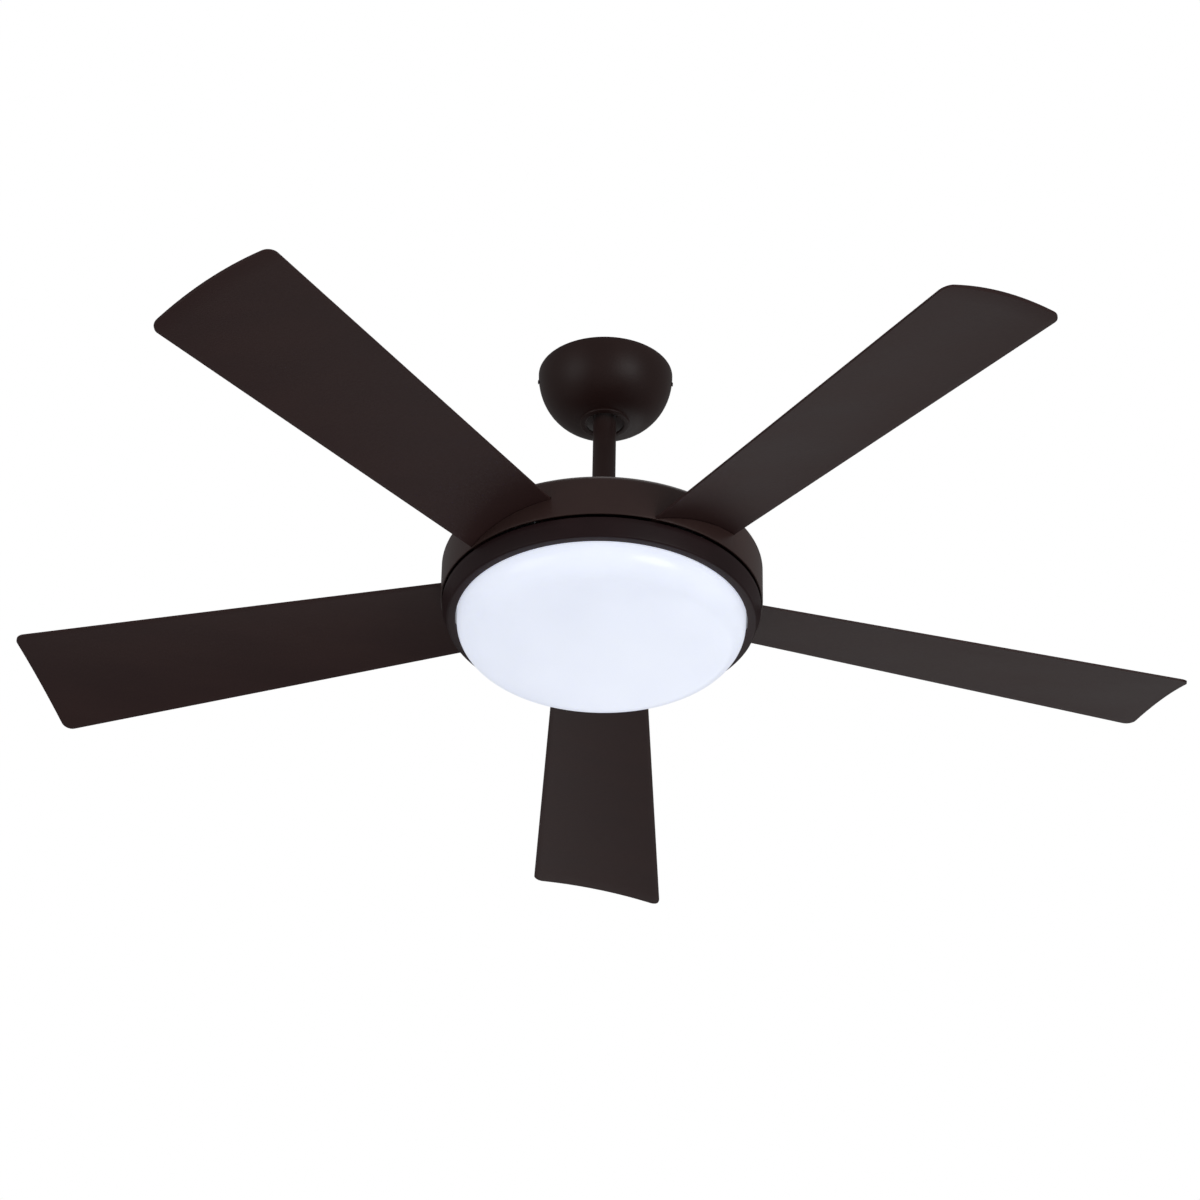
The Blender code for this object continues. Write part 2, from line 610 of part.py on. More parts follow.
# ---------------------------------------------------------------- hanging parts
def make_downrod(f, swing):
    wall = ROD_R - ROD_WALL
    rod = swept("downrod", [(ROD_R, ROD_TOP_Z), (ROD_R, ROD_BOTTOM_Z), (wall, ROD_BOTTOM_Z),
                            (wall, ROD_TOP_Z)], ROD_STEPS, f["bronze"])
    cut(rod, peg("bolt_hole", HANGER_BOLT_R + BORE_GAP, (-2 * ROD_R, 0, HANGER_Z), (2 * ROD_R, 0, HANGER_Z),
                 SMALL_STEPS))
    cut(rod, peg("bolt_hole", COUPLING_BOLT_R + BORE_GAP, (-2 * ROD_R, 0, COUPLING_BOLT_Z),
                 (2 * ROD_R, 0, COUPLING_BOLT_Z), SMALL_STEPS))
    smooth(rod)
    hang(rod, swing)
    for name, side in (("left", -1), ("right", 1)):
        washer = swept("hanger_washer_" + name, [(WASHER_R, WASHER_THICK), (WASHER_R, 0),
                                                 (HANGER_BOLT_R + BORE_GAP, 0),
                                                 (HANGER_BOLT_R + BORE_GAP, WASHER_THICK)],
                       SMALL_STEPS, f["rubber"])
        hang(washer, swing, (side * (ROD_R + GAP), 0, HANGER_Z), (side, 0, 0))


def make_coupling(f, swing):
    socket = ROD_R + BORE_GAP
    body = swept("motor_coupling", [(COUPLING_R, COUPLING_TOP_Z), (COUPLING_R, COUPLING_BOTTOM_Z),
                                    (SHAFT_FIT_R, COUPLING_BOTTOM_Z), (SHAFT_FIT_R, COUPLING_STEP_Z),
                                    (socket, COUPLING_STEP_Z), (socket, COUPLING_TOP_Z)],
                 ROD_STEPS, f["steel"])
    cut(body, peg("bolt_hole", COUPLING_BOLT_R + BORE_GAP, (-2 * COUPLING_R, 0, COUPLING_BOLT_Z),
                  (2 * COUPLING_R, 0, COUPLING_BOLT_Z), SMALL_STEPS))
    smooth(body)
    hang(body, swing)
    length = 2 * (COUPLING_R + 2 * GAP) + COUPLING_HEX_H + SCREW_STICK_OUT
    bolt = hex_bolt("coupling_bolt", COUPLING_HEX_R, COUPLING_HEX_H, COUPLING_BOLT_R, length, f["steel"])
    hang(bolt, swing, (-COUPLING_R - GAP, 0, COUPLING_BOLT_Z), (-1, 0, 0))
    nut = hex_nut("coupling_nut", COUPLING_HEX_R, COUPLING_HEX_H, COUPLING_BOLT_R + BORE_GAP, f["steel"])
    hang(nut, swing, (COUPLING_R + GAP, 0, COUPLING_BOLT_Z), (1, 0, 0))


def make_coupling_cover(f, swing):
    """A bell over the coupling, close round the rod and open above the drum."""
    top_r = ROD_R + BORE_GAP
    turns = [math.radians(a) for a in (0, 22, 45, 68, 90)]
    neck = top_r + COVER_WALL
    low = COUPLING_COVER_Z
    outer = [(neck + (COVER_R - neck) * math.cos(a), low + COVER_HEIGHT * math.sin(a)) for a in turns]
    inner = [(neck + (COVER_R - COVER_WALL - neck) * math.cos(a),
              low + (COVER_HEIGHT - COVER_WALL) * math.sin(a)) for a in turns]
    rim = [(top_r, outer[-1][1]), (top_r, inner[-1][1])]
    profile = (outer + rim + inner[::-1])[::-1]
    hang(swept("coupling_cover", profile, MOTOR_STEPS, f["bronze"]), swing)


def make_shaft(f, swing):
    flange_top = PAN_TOP_Z + GAP + SHAFT_FLANGE_H
    profile = [(SHAFT_R, SHAFT_TOP_Z), (SHAFT_R, flange_top), (SHAFT_FLANGE_R, flange_top),
               (SHAFT_FLANGE_R, PAN_TOP_Z + GAP), (SHAFT_R, PAN_TOP_Z + GAP), (SHAFT_R, SHAFT_BOTTOM_Z),
               (SHAFT_BORE_R, SHAFT_BOTTOM_Z), (SHAFT_BORE_R, SHAFT_TOP_Z)]
    hang(swept("motor_shaft", profile, ROD_STEPS, f["steel"]), swing)


def make_stator(f, swing):
    """A toothed core on the shaft, and a winding that fills the space between its teeth."""
    pitch = math.tau / TOOTH_COUNT
    half = TOOTH_WIDTH / 2
    tip = pitch * TOOTH_TIP_SHARE / 2
    points = []
    for k in range(TOOTH_COUNT):
        middle = k * pitch
        neck = math.asin(half / TIP_START_R)
        for radius, turn in ((CORE_HUB_R, -math.asin(half / CORE_HUB_R)), (TIP_START_R, -neck),
                             (TIP_START_R, -tip), (CORE_R, -tip), (CORE_R, 0), (CORE_R, tip),
                             (TIP_START_R, tip), (TIP_START_R, neck),
                             (CORE_HUB_R, math.asin(half / CORE_HUB_R))):
            points.append((radius * math.cos(middle + turn), radius * math.sin(middle + turn)))
    core = outline("stator_core", points, CORE_BOTTOM_Z, CORE_TOP_Z, f["core"])
    cut(core, peg("bore", SHAFT_FIT_R, (0, 0, CORE_BOTTOM_Z - CUT_ACROSS), (0, 0, CORE_TOP_Z + CUT_ACROSS),
                  ROD_STEPS))
    hang(core, swing)
    inner = CORE_HUB_R + AIR_GAP
    outer = TIP_START_R - WINDING_RIM_GAP
    coil = swept("stator_winding", [(outer, WINDING_TOP_Z), (outer, WINDING_BOTTOM_Z),
                                    (inner, WINDING_BOTTOM_Z), (inner, WINDING_TOP_Z)],
                 MOTOR_STEPS, f["copper"])
    for k in range(TOOTH_COUNT):
        window = block("window", (CORE_HUB_R - CUT_PAST, -half - GAP, CORE_BOTTOM_Z - GAP),
                       (TIP_START_R, half + GAP, CORE_TOP_Z + GAP))
        window.rotation_euler = (0, 0, k * pitch)
        cut(coil, window)
    hang(coil, swing)


def make_bearings(f, swing, spin):
    """Each bearing as its two races, the inner on the shaft and the outer in the rotor."""
    for name, low in (("upper", UPPER_RACE_BOTTOM_Z), ("lower", LOWER_RACE_BOTTOM_Z)):
        for race, near, far, empty in (("inner", SHAFT_FIT_R, RACE_INNER_R, swing),
                                       ("outer", RACE_BALL_R, RACE_R, spin)):
            profile = [(far, low + RACE_HEIGHT), (far, low), (near, low), (near, low + RACE_HEIGHT)]
            hang(swept(name + "_bearing_" + race + "_race", profile, ROD_STEPS, f["steel"]), empty)


def make_cable(f, swing):
    """The lamp's supply cable: down the rod, through the shaft and up to the driver."""
    x_end = LED_DRIVER_OFFSET - LED_DRIVER[0] / 2 - GAP
    inner = SHAFT_BORE_R - LEAD_R - GAP
    below = SHAFT_BOTTOM_Z - 0.0060
    run = [(0, LEAD_OFFSET, ROD_TOP_Z - 0.0015), (0, LEAD_OFFSET, -0.060), (0, LEAD_OFFSET, -0.110),
           (0, LEAD_OFFSET, -0.160), (0, LEAD_OFFSET, COUPLING_BOLT_Z + 0.012),
           (0, LEAD_OFFSET, COUPLING_BOLT_Z - 0.001), (0, inner + 0.0004, SHAFT_TOP_Z + 0.002),
           (0, inner, SHAFT_TOP_Z - 0.006), (0, inner, CORE_TOP_Z), (0, inner, SHAFT_BOTTOM_Z + 0.006),
           (0.0015, inner * 0.8, SHAFT_BOTTOM_Z - 0.002), (0.0070, inner * 0.4, below),
           (x_end - 0.0085, 0, below + 0.0035), (x_end, 0, below + 0.0035)]
    hang(cable("lamp_cable", run, f["sheath"], 44), swing)


def cable(name, run, surface, count):
    """A round cable along a smooth curve through a few points."""
    points = [Vector(p) for p in run]
    padded = [points[0] * 2 - points[1]] + points + [points[-1] * 2 - points[-2]]
    lengths = [(b - a).length for a, b in zip(points, points[1:])]
    total = sum(lengths)
    samples = []
    for k in range(count + 1):
        goal = total * k / count
        part = 0
        while part < len(lengths) - 1 and goal > lengths[part]:
            goal -= lengths[part]
            part += 1
        t = min(goal / lengths[part], 1.0)
        before, here, there, after = padded[part:part + 4]
        square = (2 * before - 5 * here + 4 * there - after) * t ** 2
        cube = (3 * here - before - 3 * there + after) * t ** 3
        samples.append((2 * here + (there - before) * t + square + cube) / 2)
    curve = bpy.data.curves.new(name, "CURVE")
    curve.dimensions = "3D"
    curve.bevel_depth = LEAD_R
    curve.bevel_resolution = 2
    curve.use_fill_caps = True
    spline = curve.splines.new("POLY")
    spline.points.add(count)
    for point, sample in zip(spline.points, samples):
        point.co = (*sample, 1.0)
    made = bpy.data.objects.new(name, curve)
    curve.materials.append(surface)
    bpy.context.collection.objects.link(made)
    return made


def make_motor_lead(f):
    """The lead from the receiver to the mouth of the rod."""
    start = RECEIVER_START - GAP
    high = ROD_TOP_Z + 0.0065
    run = [(0, start, high - 0.0010), (0, start - 0.0030, high - 0.0010),
           (0, LEAD_OFFSET + 0.0045, high + 0.0005), (0, LEAD_OFFSET + 0.0010, high - 0.0008),
           (0, LEAD_OFFSET, ROD_TOP_Z + 0.0030)]
    cable("motor_lead", run, f["sheath"], 8)


# ---------------------------------------------------------------- rotor
def make_rotor_cup(f, spin):
    inner = CUP_R - CUP_WALL
    bottom = COVER_TOP_Z + GAP
    seat_end = UPPER_RACE_BOTTOM_Z + GAP
    cup = swept("rotor_cup", [(CUP_R, CUP_TOP_Z), (CUP_R, bottom), (inner, bottom), (inner, CUP_ROOF_Z),
                              (SEAT_OUTER_R, CUP_ROOF_Z), (SEAT_OUTER_R, seat_end), (SEAT_R, seat_end),
                              (SEAT_R, CUP_ROOF_Z), (LIP_R, CUP_ROOF_Z), (LIP_R, CUP_TOP_Z)],
                MOTOR_STEPS, f["aluminium"])
    for angle in screw_angles():
        x = DRUM_SCREW_PCD_R * math.cos(angle)
        y = DRUM_SCREW_PCD_R * math.sin(angle)
        cut(cup, upright_hole(x, y, CUP_ROOF_Z, CUP_TOP_Z))
    smooth(cup)
    hang(cup, spin)
    ring_top = WINDING_TOP_Z
    ring_bottom = WINDING_BOTTOM_Z + GAP
    hang(swept("magnet_ring", [(MAGNET_R, ring_top), (MAGNET_R, ring_bottom),
                               (MAGNET_R - MAGNET_THICK, ring_bottom), (MAGNET_R - MAGNET_THICK, ring_top)],
               MOTOR_STEPS, f["magnet"]), spin)


def screw_angles():
    """The three drum screws, spread evenly."""
    return [math.radians(30) + math.tau * k / 3 for k in range(3)]


def make_end_cover(f, spin):
    seat_top = LOWER_RACE_TOP_Z - GAP
    cover = swept("motor_end_cover", [(END_COVER_R, COVER_TOP_Z), (END_COVER_R, COVER_UNDER_Z),
                                      (LIP_R, COVER_UNDER_Z), (LIP_R, COVER_TOP_Z), (SEAT_R, COVER_TOP_Z),
                                      (SEAT_R, seat_top), (SEAT_OUTER_R, seat_top),
                                      (SEAT_OUTER_R, COVER_TOP_Z)], MOTOR_STEPS, f["aluminium"])
    place = END_COVER_R - ARM_SCREW_INSET
    for angle in blade_angles():
        x = place * math.cos(angle)
        y = place * math.sin(angle)
        cut(cover, upright_hole(x, y, COVER_UNDER_Z, COVER_TOP_Z))
    smooth(cover)
    hang(cover, spin)


def blade_angles():
    return [BLADE_START_ANGLE + math.tau * k / BLADE_COUNT for k in range(BLADE_COUNT)]


def make_drum(f, spin):
    """The round housing, slotted for the five blades."""
    top = DRUM_TOP_Z
    centre = (DRUM_R - DRUM_EDGE_R, top - DRUM_EDGE_R)
    outer = arc(centre, DRUM_EDGE_R, math.pi / 2, 0, 4)
    inner = arc(centre, DRUM_EDGE_R - DRUM_WALL, 0, math.pi / 2, 4)
    wall = DRUM_R - DRUM_WALL
    profile = [(DRUM_HOLE_R, top)] + outer + [(DRUM_R, DRUM_BOTTOM_Z), (wall, DRUM_BOTTOM_Z)] + inner
    profile += [(DRUM_HOLE_R, DRUM_ROOF_Z)]
    drum = swept("drum_shell", profile, BIG_STEPS, f["bronze"])
    columns = [-1, -0.6, -0.2, 0.2, 0.6, 1]
    # The wall curves back beside the blade, so the slot starts where its edge leaves the inside.
    edge = half_chord(DRUM_R) + BLADE_SLOT_GAP
    rows = [math.sqrt(wall ** 2 - edge ** 2) - 2 * DRUM_WALL, DRUM_R + 2 * DRUM_WALL]

    def side(row, column, sign):
        across = column * (half_chord(row) + BLADE_SLOT_GAP)
        return blade_point(row, across, sign * (half_thick(column) + BLADE_SLOT_GAP))

    for angle in blade_angles():
        slot = plate("slot", rows, columns, lambda r, c: side(r, c, -1), lambda r, c: side(r, c, 1))
        slot.rotation_euler = (0, 0, angle)
        cut(drum, slot)
    for k, angle in enumerate(screw_angles()):
        x = DRUM_SCREW_PCD_R * math.cos(angle)
        y = DRUM_SCREW_PCD_R * math.sin(angle)
        cut(drum, upright_hole(x, y, DRUM_ROOF_Z, top))
        length = GAP + DRUM_WALL + GAP + CUP_ROOF + 2 * GAP
        fix = screw("drum_screw_" + str(k + 1), SCREW_HEAD_R, SCREW_HEAD_H, SCREW_R, length, f["bronze"])
        hang(fix, spin, (x, y, top + GAP))
    smooth(drum)
    hang(drum, spin)


def make_blades(f, spin):
    """One cambered, pitched blade with rounded tip corners, copied round the drum."""
    turns = [0, math.radians(30), math.radians(60), math.radians(90)]
    span = BLADE_TIP_R - BLADE_CORNER_R - DRUM_R
    middle_rows = [DRUM_R + span * k / 4 for k in (1, 2, 3)]
    straight = [(r, half_chord(r), 0.0) for r in (BLADE_ROOT_R, DRUM_R, *middle_rows)]
    rows = straight + [blade_row(turn) for turn in turns]
    columns = [-1, -0.7, -0.35, 0, 0.35, 0.7, 1]

    def side(row, column, sign):
        radius, width, tip_share = row
        point = blade_point(radius, column * width, sign * half_thick(column))
        point.x += BLADE_TIP_BULGE * tip_share * (1 - column ** 2)
        return point

    first = plate("blade_1", rows, columns, lambda r, c: side(r, c, -1), lambda r, c: side(r, c, 1),
                  f["blade"])
    cut_stud_holes(first)
    smooth(first, 50)
    copy_round(first, spin)


def copy_round(first, spin):
    """Place the first piece, modelled along +X, and its copies at every blade's angle."""
    stem = first.name[:-2]
    for k, angle in enumerate(blade_angles()):
        piece = first
        if k:
            piece = bpy.data.objects.new(stem + "_" + str(k + 1), first.data)
            bpy.context.collection.objects.link(piece)
        hang(piece, spin, turn=angle)


def cut_stud_holes(piece):
    for sign in (-1, 1):
        place, square = stud_line(sign * STUD_PITCH / 2)
        cut(piece, peg("hole", STUD_R + SCREW_GAP, place + square * CUT_ACROSS, place - square * CUT_ACROSS))


def make_arms(f, spin):
    """A pressed arm: flat on the end cover, then bent up and twisted under the blade."""
    start = CUP_R + ARM_START_GAP
    rows = [start, ARM_BEND_START, (ARM_BEND_START + ARM_BEND_END) / 2, ARM_BEND_END, ARM_OUTER_R]
    columns = [-ARM_WIDTH / 2, 0, ARM_WIDTH / 2]

    def side(radius, across, drop):
        share = min(max((radius - ARM_BEND_START) / (ARM_BEND_END - ARM_BEND_START), 0), 1)
        flat = Vector((radius, across, COVER_TOP_Z + GAP + ARM_THICK - drop))
        under = half_thick(across / half_chord(radius)) + GAP + drop
        return flat.lerp(blade_point(radius, across, -under - GAP), share)

    first = plate("blade_arm_1", rows, columns, lambda r, c: side(r, c, ARM_THICK),
                  lambda r, c: side(r, c, 0.0), f["steel"])
    cut_stud_holes(first)
    place = END_COVER_R - ARM_SCREW_INSET
    cut(first, peg("hole", SCREW_R + SCREW_GAP, (place, 0, COVER_TOP_Z - CUT_PAST),
                   (place, 0, COVER_TOP_Z + CUT_ACROSS)))
    copy_round(first, spin)
    length = 2 * GAP + ARM_THICK + END_COVER_THICK + SCREW_STICK_OUT
    fix = screw("arm_screw_1", SCREW_HEAD_R, SCREW_HEAD_H, SCREW_R, length, f["steel"])
    fix.data.transform(Matrix.Translation((place, 0, COVER_TOP_Z + ARM_THICK + 2 * GAP)))
    copy_round(fix, spin)


def make_clamps(f, spin):
    """A plate on the blade's root with two studs that pass down through blade and arm."""
    middle = (ARM_OUTER_R + BLADE_ROOT_R) / 2
    rows = [middle - CLAMP_LENGTH / 2, middle + CLAMP_LENGTH / 2]
    columns = [-CLAMP_WIDTH / 2, -CLAMP_WIDTH / 4, 0, CLAMP_WIDTH / 4, CLAMP_WIDTH / 2]

    def side(radius, across, rise):
        over = half_thick(across / half_chord(radius)) + 2 * GAP + rise
        return blade_point(radius, across, over)

    first = plate("blade_clamp_1", rows, columns, lambda r, c: side(r, c, 0.0),
                  lambda r, c: side(r, c, CLAMP_THICK), f["steel"])
    down = BLADE_THICK / 2 + ARM_THICK + STUD_TAIL
    for sign in (-1, 1):
        place, square = stud_line(sign * STUD_PITCH / 2)
        top = place + square * (BLADE_THICK / 2 + CLAMP_THICK / 2)
        join(first, peg("stud", STUD_R, top, place - square * down))
    copy_round(first, spin)


# ---------------------------------------------------------------- light kit
def make_trim_ring(f, swing):
    """The still ring below the running gap, with a flange on the pan and a lip round the lens."""
    t = RING_WALL
    edge = RING_EDGE_R
    lip_r = LENS_R + RING_LENS_GAP
    knee = RING_TOP_Z - RING_STRAIGHT
    corner = (RING_BOTTOM_R - edge, RING_BOTTOM_Z + edge)
    profile = [(RING_FLANGE_R, RING_TOP_Z), (RING_TOP_R, RING_TOP_Z), (RING_TOP_R, knee)]
    profile += arc(corner, edge, 0, -math.pi / 2, 3)
    profile += [(lip_r, RING_BOTTOM_Z), (lip_r, RING_BOTTOM_Z + t),
                (RING_BOTTOM_R - t - edge / 2, RING_BOTTOM_Z + t), (RING_TOP_R - t, knee),
                (RING_TOP_R - t, RING_TOP_Z - t), (RING_FLANGE_R, RING_TOP_Z - t)]
    ring = swept("trim_ring", profile, BIG_STEPS, f["bronze"])
    for angle in pan_screw_angles():
        x = PAN_SCREW_PCD_R * math.cos(angle)
        y = PAN_SCREW_PCD_R * math.sin(angle)
        cut(ring, upright_hole(x, y, RING_TOP_Z - t, RING_TOP_Z))
    smooth(ring)
    hang(ring, swing)


def pan_screw_angles():
    """Midway between the diffuser's hooks."""
    return [HOOK_START_ANGLE + math.tau * (k + 0.5) / HOOK_COUNT for k in range(HOOK_COUNT)]


def make_light_pan(f, swing):
    """A white disc on the shaft, with three hooks bent down for the diffuser's lugs."""
    pan = swept("light_pan", [(PAN_R, PAN_TOP_Z), (PAN_R, PAN_UNDER_Z), (SHAFT_FIT_R, PAN_UNDER_Z),
                              (SHAFT_FIT_R, PAN_TOP_Z)], BIG_STEPS, f["white"])
    foot = HOOK_OUTER_R
    stem = foot - HOOK_REACH
    inner = stem - HOOK_WALL
    low = HOOK_FOOT_TOP_Z - HOOK_WALL
    hook = [(stem, PAN_TOP_Z - PAN_THICK / 2), (stem, HOOK_FOOT_TOP_Z), (foot, HOOK_FOOT_TOP_Z),
            (foot, low), (inner, low), (inner, PAN_TOP_Z - PAN_THICK / 2)]
    for k in range(HOOK_COUNT):
        middle = HOOK_START_ANGLE + math.tau * k / HOOK_COUNT
        join(pan, swept("hook", hook, 3, None, middle - HOOK_ANGLE / 2, HOOK_ANGLE))
    for k, angle in enumerate(pan_screw_angles()):
        x = PAN_SCREW_PCD_R * math.cos(angle)
        y = PAN_SCREW_PCD_R * math.sin(angle)
        cut(pan, upright_hole(x, y, PAN_UNDER_Z, PAN_TOP_Z))
        length = GAP + PAN_THICK + GAP + RING_WALL - GAP
        fix = screw("pan_screw_" + str(k + 1), PAN_SCREW_HEAD_R, SCREW_HEAD_H, SCREW_R, length, f["steel"])
        hang(fix, swing, (x, y, PAN_UNDER_Z - GAP), (0, 0, -1))
    hang(pan, swing)
    nut = hex_nut("pan_nut", PAN_NUT_R, PAN_NUT_H, SHAFT_FIT_R, f["steel"], ROD_STEPS)
    hang(nut, swing, (0, 0, NUT_BOTTOM_Z))


def make_light_source(f, swing):
    top = PAN_UNDER_Z - GAP
    under = top - LED_BOARD_THICK
    board = [(LED_BOARD_R, top), (LED_BOARD_R, under), (LED_BOARD_HOLE_R, under), (LED_BOARD_HOLE_R, top)]
    hang(swept("led_board", board, MOTOR_STEPS, f["board"]), swing)
    x, y, z = LED_DRIVER
    driver = block("led_driver", (LED_DRIVER_OFFSET - x / 2, -y / 2, top - z),
                   (LED_DRIVER_OFFSET + x / 2, y / 2, top), f["plastic"])
    hang(driver, swing)


def make_diffuser(f, twist):
    """An opal bowl: a short wall, a round shoulder and a shallow dome, with three inner lugs."""
    shoulder = LENS_SHOULDER_R
    slope = math.asin((LENS_R - shoulder) / (LENS_DOME_R - shoulder))
    middle = (LENS_R - shoulder, LENS_WALL_END_Z)
    dome_centre_z = LENS_WALL_END_Z + (LENS_DOME_R - shoulder) * math.cos(slope)

    def shell(inset):
        bend = [-math.radians(k * 90 / 4) for k in range(4)]
        end = -(math.pi / 2 - slope)
        points = [(LENS_R - inset, LENS_WALL_TOP_Z)]
        points += [turned(middle, shoulder - inset, a) for a in bend if a > end]
        big = LENS_DOME_R - inset
        points += [(big * math.sin(slope * k / 5), dome_centre_z - big * math.cos(slope * k / 5))
                   for k in (5, 4, 3, 2, 1, 0)]
        return points

    profile = shell(0.0) + shell(LENS_WALL)[::-1]
    lens = swept("diffuser", profile, BIG_STEPS, f["opal"])
    lug_low = HOOK_FOOT_TOP_Z + GAP
    lug_in = LENS_INNER_R - LENS_LUG_REACH
    lug_out = LENS_INNER_R + LENS_WALL / 2
    lug = [(lug_out, lug_low + LENS_LUG_THICK), (lug_out, lug_low), (lug_in, lug_low),
           (lug_in, lug_low + LENS_LUG_THICK)]
    for k in range(HOOK_COUNT):
        centre = HOOK_START_ANGLE + math.tau * k / HOOK_COUNT
        join(lens, swept("lug", lug, 3, None, centre - HOOK_ANGLE / 2, HOOK_ANGLE))
    smooth(lens)
    hang(lens, twist)


# ---------------------------------------------------------------- the fan
def main():
    clear_scene()
    f = make_finishes()
    swing = axis_empty("hanger_axis", HANGER_Z)
    spin = axis_empty("spin_axis", BLADE_Z, swing)
    twist = axis_empty("diffuser_axis", LENS_WALL_END_Z, swing)
    make_bracket(f)
    make_hanger_bolt(f)
    make_canopy(f)
    make_receiver(f)
    make_motor_lead(f)
    make_downrod(f, swing)
    make_coupling(f, swing)
    make_coupling_cover(f, swing)
    make_shaft(f, swing)
    make_stator(f, swing)
    make_bearings(f, swing, spin)
    make_cable(f, swing)
    make_rotor_cup(f, spin)
    make_end_cover(f, spin)
    make_drum(f, spin)
    make_blades(f, spin)
    make_arms(f, spin)
    make_clamps(f, spin)
    make_trim_ring(f, swing)
    make_light_pan(f, swing)
    make_light_source(f, swing)
    make_diffuser(f, twist)


main()
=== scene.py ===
"""Ceiling fan with light: the finished surfaces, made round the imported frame.

Metres, +Z up, the ceiling at Z = 0 and the spin axis along Z.
"""
import math

import bmesh
import bpy
from mathutils import Matrix, Vector


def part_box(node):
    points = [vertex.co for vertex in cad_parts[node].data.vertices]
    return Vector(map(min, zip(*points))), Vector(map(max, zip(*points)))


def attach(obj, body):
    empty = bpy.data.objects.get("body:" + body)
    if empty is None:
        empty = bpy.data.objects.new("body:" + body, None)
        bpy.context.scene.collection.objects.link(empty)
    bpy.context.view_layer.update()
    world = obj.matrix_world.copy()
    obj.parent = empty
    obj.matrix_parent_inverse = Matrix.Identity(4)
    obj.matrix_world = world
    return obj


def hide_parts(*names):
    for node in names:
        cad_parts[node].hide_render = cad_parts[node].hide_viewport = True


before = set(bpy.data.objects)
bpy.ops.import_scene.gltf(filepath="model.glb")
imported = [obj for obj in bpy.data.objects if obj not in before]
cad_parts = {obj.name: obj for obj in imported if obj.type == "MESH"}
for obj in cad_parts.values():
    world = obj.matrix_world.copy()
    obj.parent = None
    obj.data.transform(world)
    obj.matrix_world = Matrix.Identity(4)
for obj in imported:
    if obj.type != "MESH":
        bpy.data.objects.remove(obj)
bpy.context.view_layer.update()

# ---------------------------------------------------------------- sizes
RING_SEGMENTS = 144
TUBE_SEGMENTS = 48
SCREW_SEGMENTS = 24
RIM_SEGMENTS = 180            # drum, trim ring and diffuser

SHEET_WALL = 0.0015           # pressed canopy, drum and cover
MOULDED_WALL = 0.0020         # trim ring and diffuser
EDGE_ROUND = 0.0004
FINE_ROUND = 0.0003
BOLT_ROUND = 0.0002
BLADE_ROUND = 0.0007
CUT_PAST = 0.0100             # how far a cutter runs past the wall it cuts

SCREW_HOLE_R = 0.0026
SCREW_HEAD_H = 0.0022
SCREW_SHANK_R = 0.0020
PAN_HEAD_R = 0.0042
RECESS_REACH = 0.62           # of the head's radius, half the length of a cross recess
RECESS_BREADTH = 0.13         # of the head's radius, half its width
RECESS_DEPTH = 0.65           # of the head's height
BOLT_ROOM = 0.0003            # round a bolt in its hole

CEILING_GAP = 0.0010          # above the canopy's rim
CANOPY_FLAT_R = 0.0215
CANOPY_SWEEP = math.radians(84)
CANOPY_STEPS = 20
CANOPY_FOOT = 0.0016          # depth of the raised disc
CANOPY_FOOT_R = 0.0012
CANOPY_HEM = 0.0016
CANOPY_HEM_R = 0.0014
CANOPY_HOLE_R = 0.0200
CANOPY_SCREW_DROP = 0.0100
CANOPY_SCREW_HEAD_H = 0.0006
CANOPY_HOLE_DEPTH = 0.0200

BRACKET_WALL = 0.0025
BRACKET_LUG_PLACE = 0.0170
BRACKET_TAB_DROP = 0.0180
BRACKET_CORNER_R = 0.0070
SLOT_PLACE = 0.0420
SLOT_HALF = 0.0040
SLOT_R = 0.0030

ROD_WALL = 0.0020
HANGER_DROP = 0.0260
HANGER_BOLT_R = 0.0040
HANGER_HEX_R = 0.0075
HANGER_HEAD_H = 0.0055
PIN_HOLE_R = 0.0013
PIN_WIRE_R = 0.0005
PIN_EYE_R = 0.0010

RECEIVER_TONGUE = 0.0120       # from the case to the tongue's end
RECEIVER_CORNER_R = 0.0030
VENT_COUNT = 7
VENT_PITCH = 0.0050
LID_LINE_RISE = 0.0040
LID_LINE_WIDTH = 0.0005
LID_LINE_DEPTH = 0.0006

COUPLING_HOLE_R = 0.0033
COVER_NECK_R = 0.0128
DRUM_EDGE_R = 0.0080
DRUM_HOLE_R = 0.0260
DRUM_SEAT_R = 0.0780
DRUM_DISH_R = (0.0810, 0.1400)
DRUM_DISH_DROP = 0.0006
DRUM_BROW_R = 0.1520
DRUM_SCREW_COUNT = 3

RING_STRAIGHT = 0.0060
RING_BOTTOM_R = 0.1635
RING_EDGE_R = 0.0025
RING_LIP_GAP = 0.0014
RING_FLANGE_R = 0.1420

LENS_SHOULDER_R = 0.0280
LENS_DOME_R = 0.9000
LENS_PROUD = 0.0020
HOOK_START = math.radians(30)
HOOK_ANGLE = math.radians(14)
LUG_REACH = 0.0040
LUG_THICK = 0.0033
LUG_DROP = 0.0021             # from the wall's top edge to a lug
HOOK_COUNT = 3

CHIP_HALF = 0.0014
CHIP_RINGS = ((0.101, 30), (0.121, 36))    # radius, and how many chips

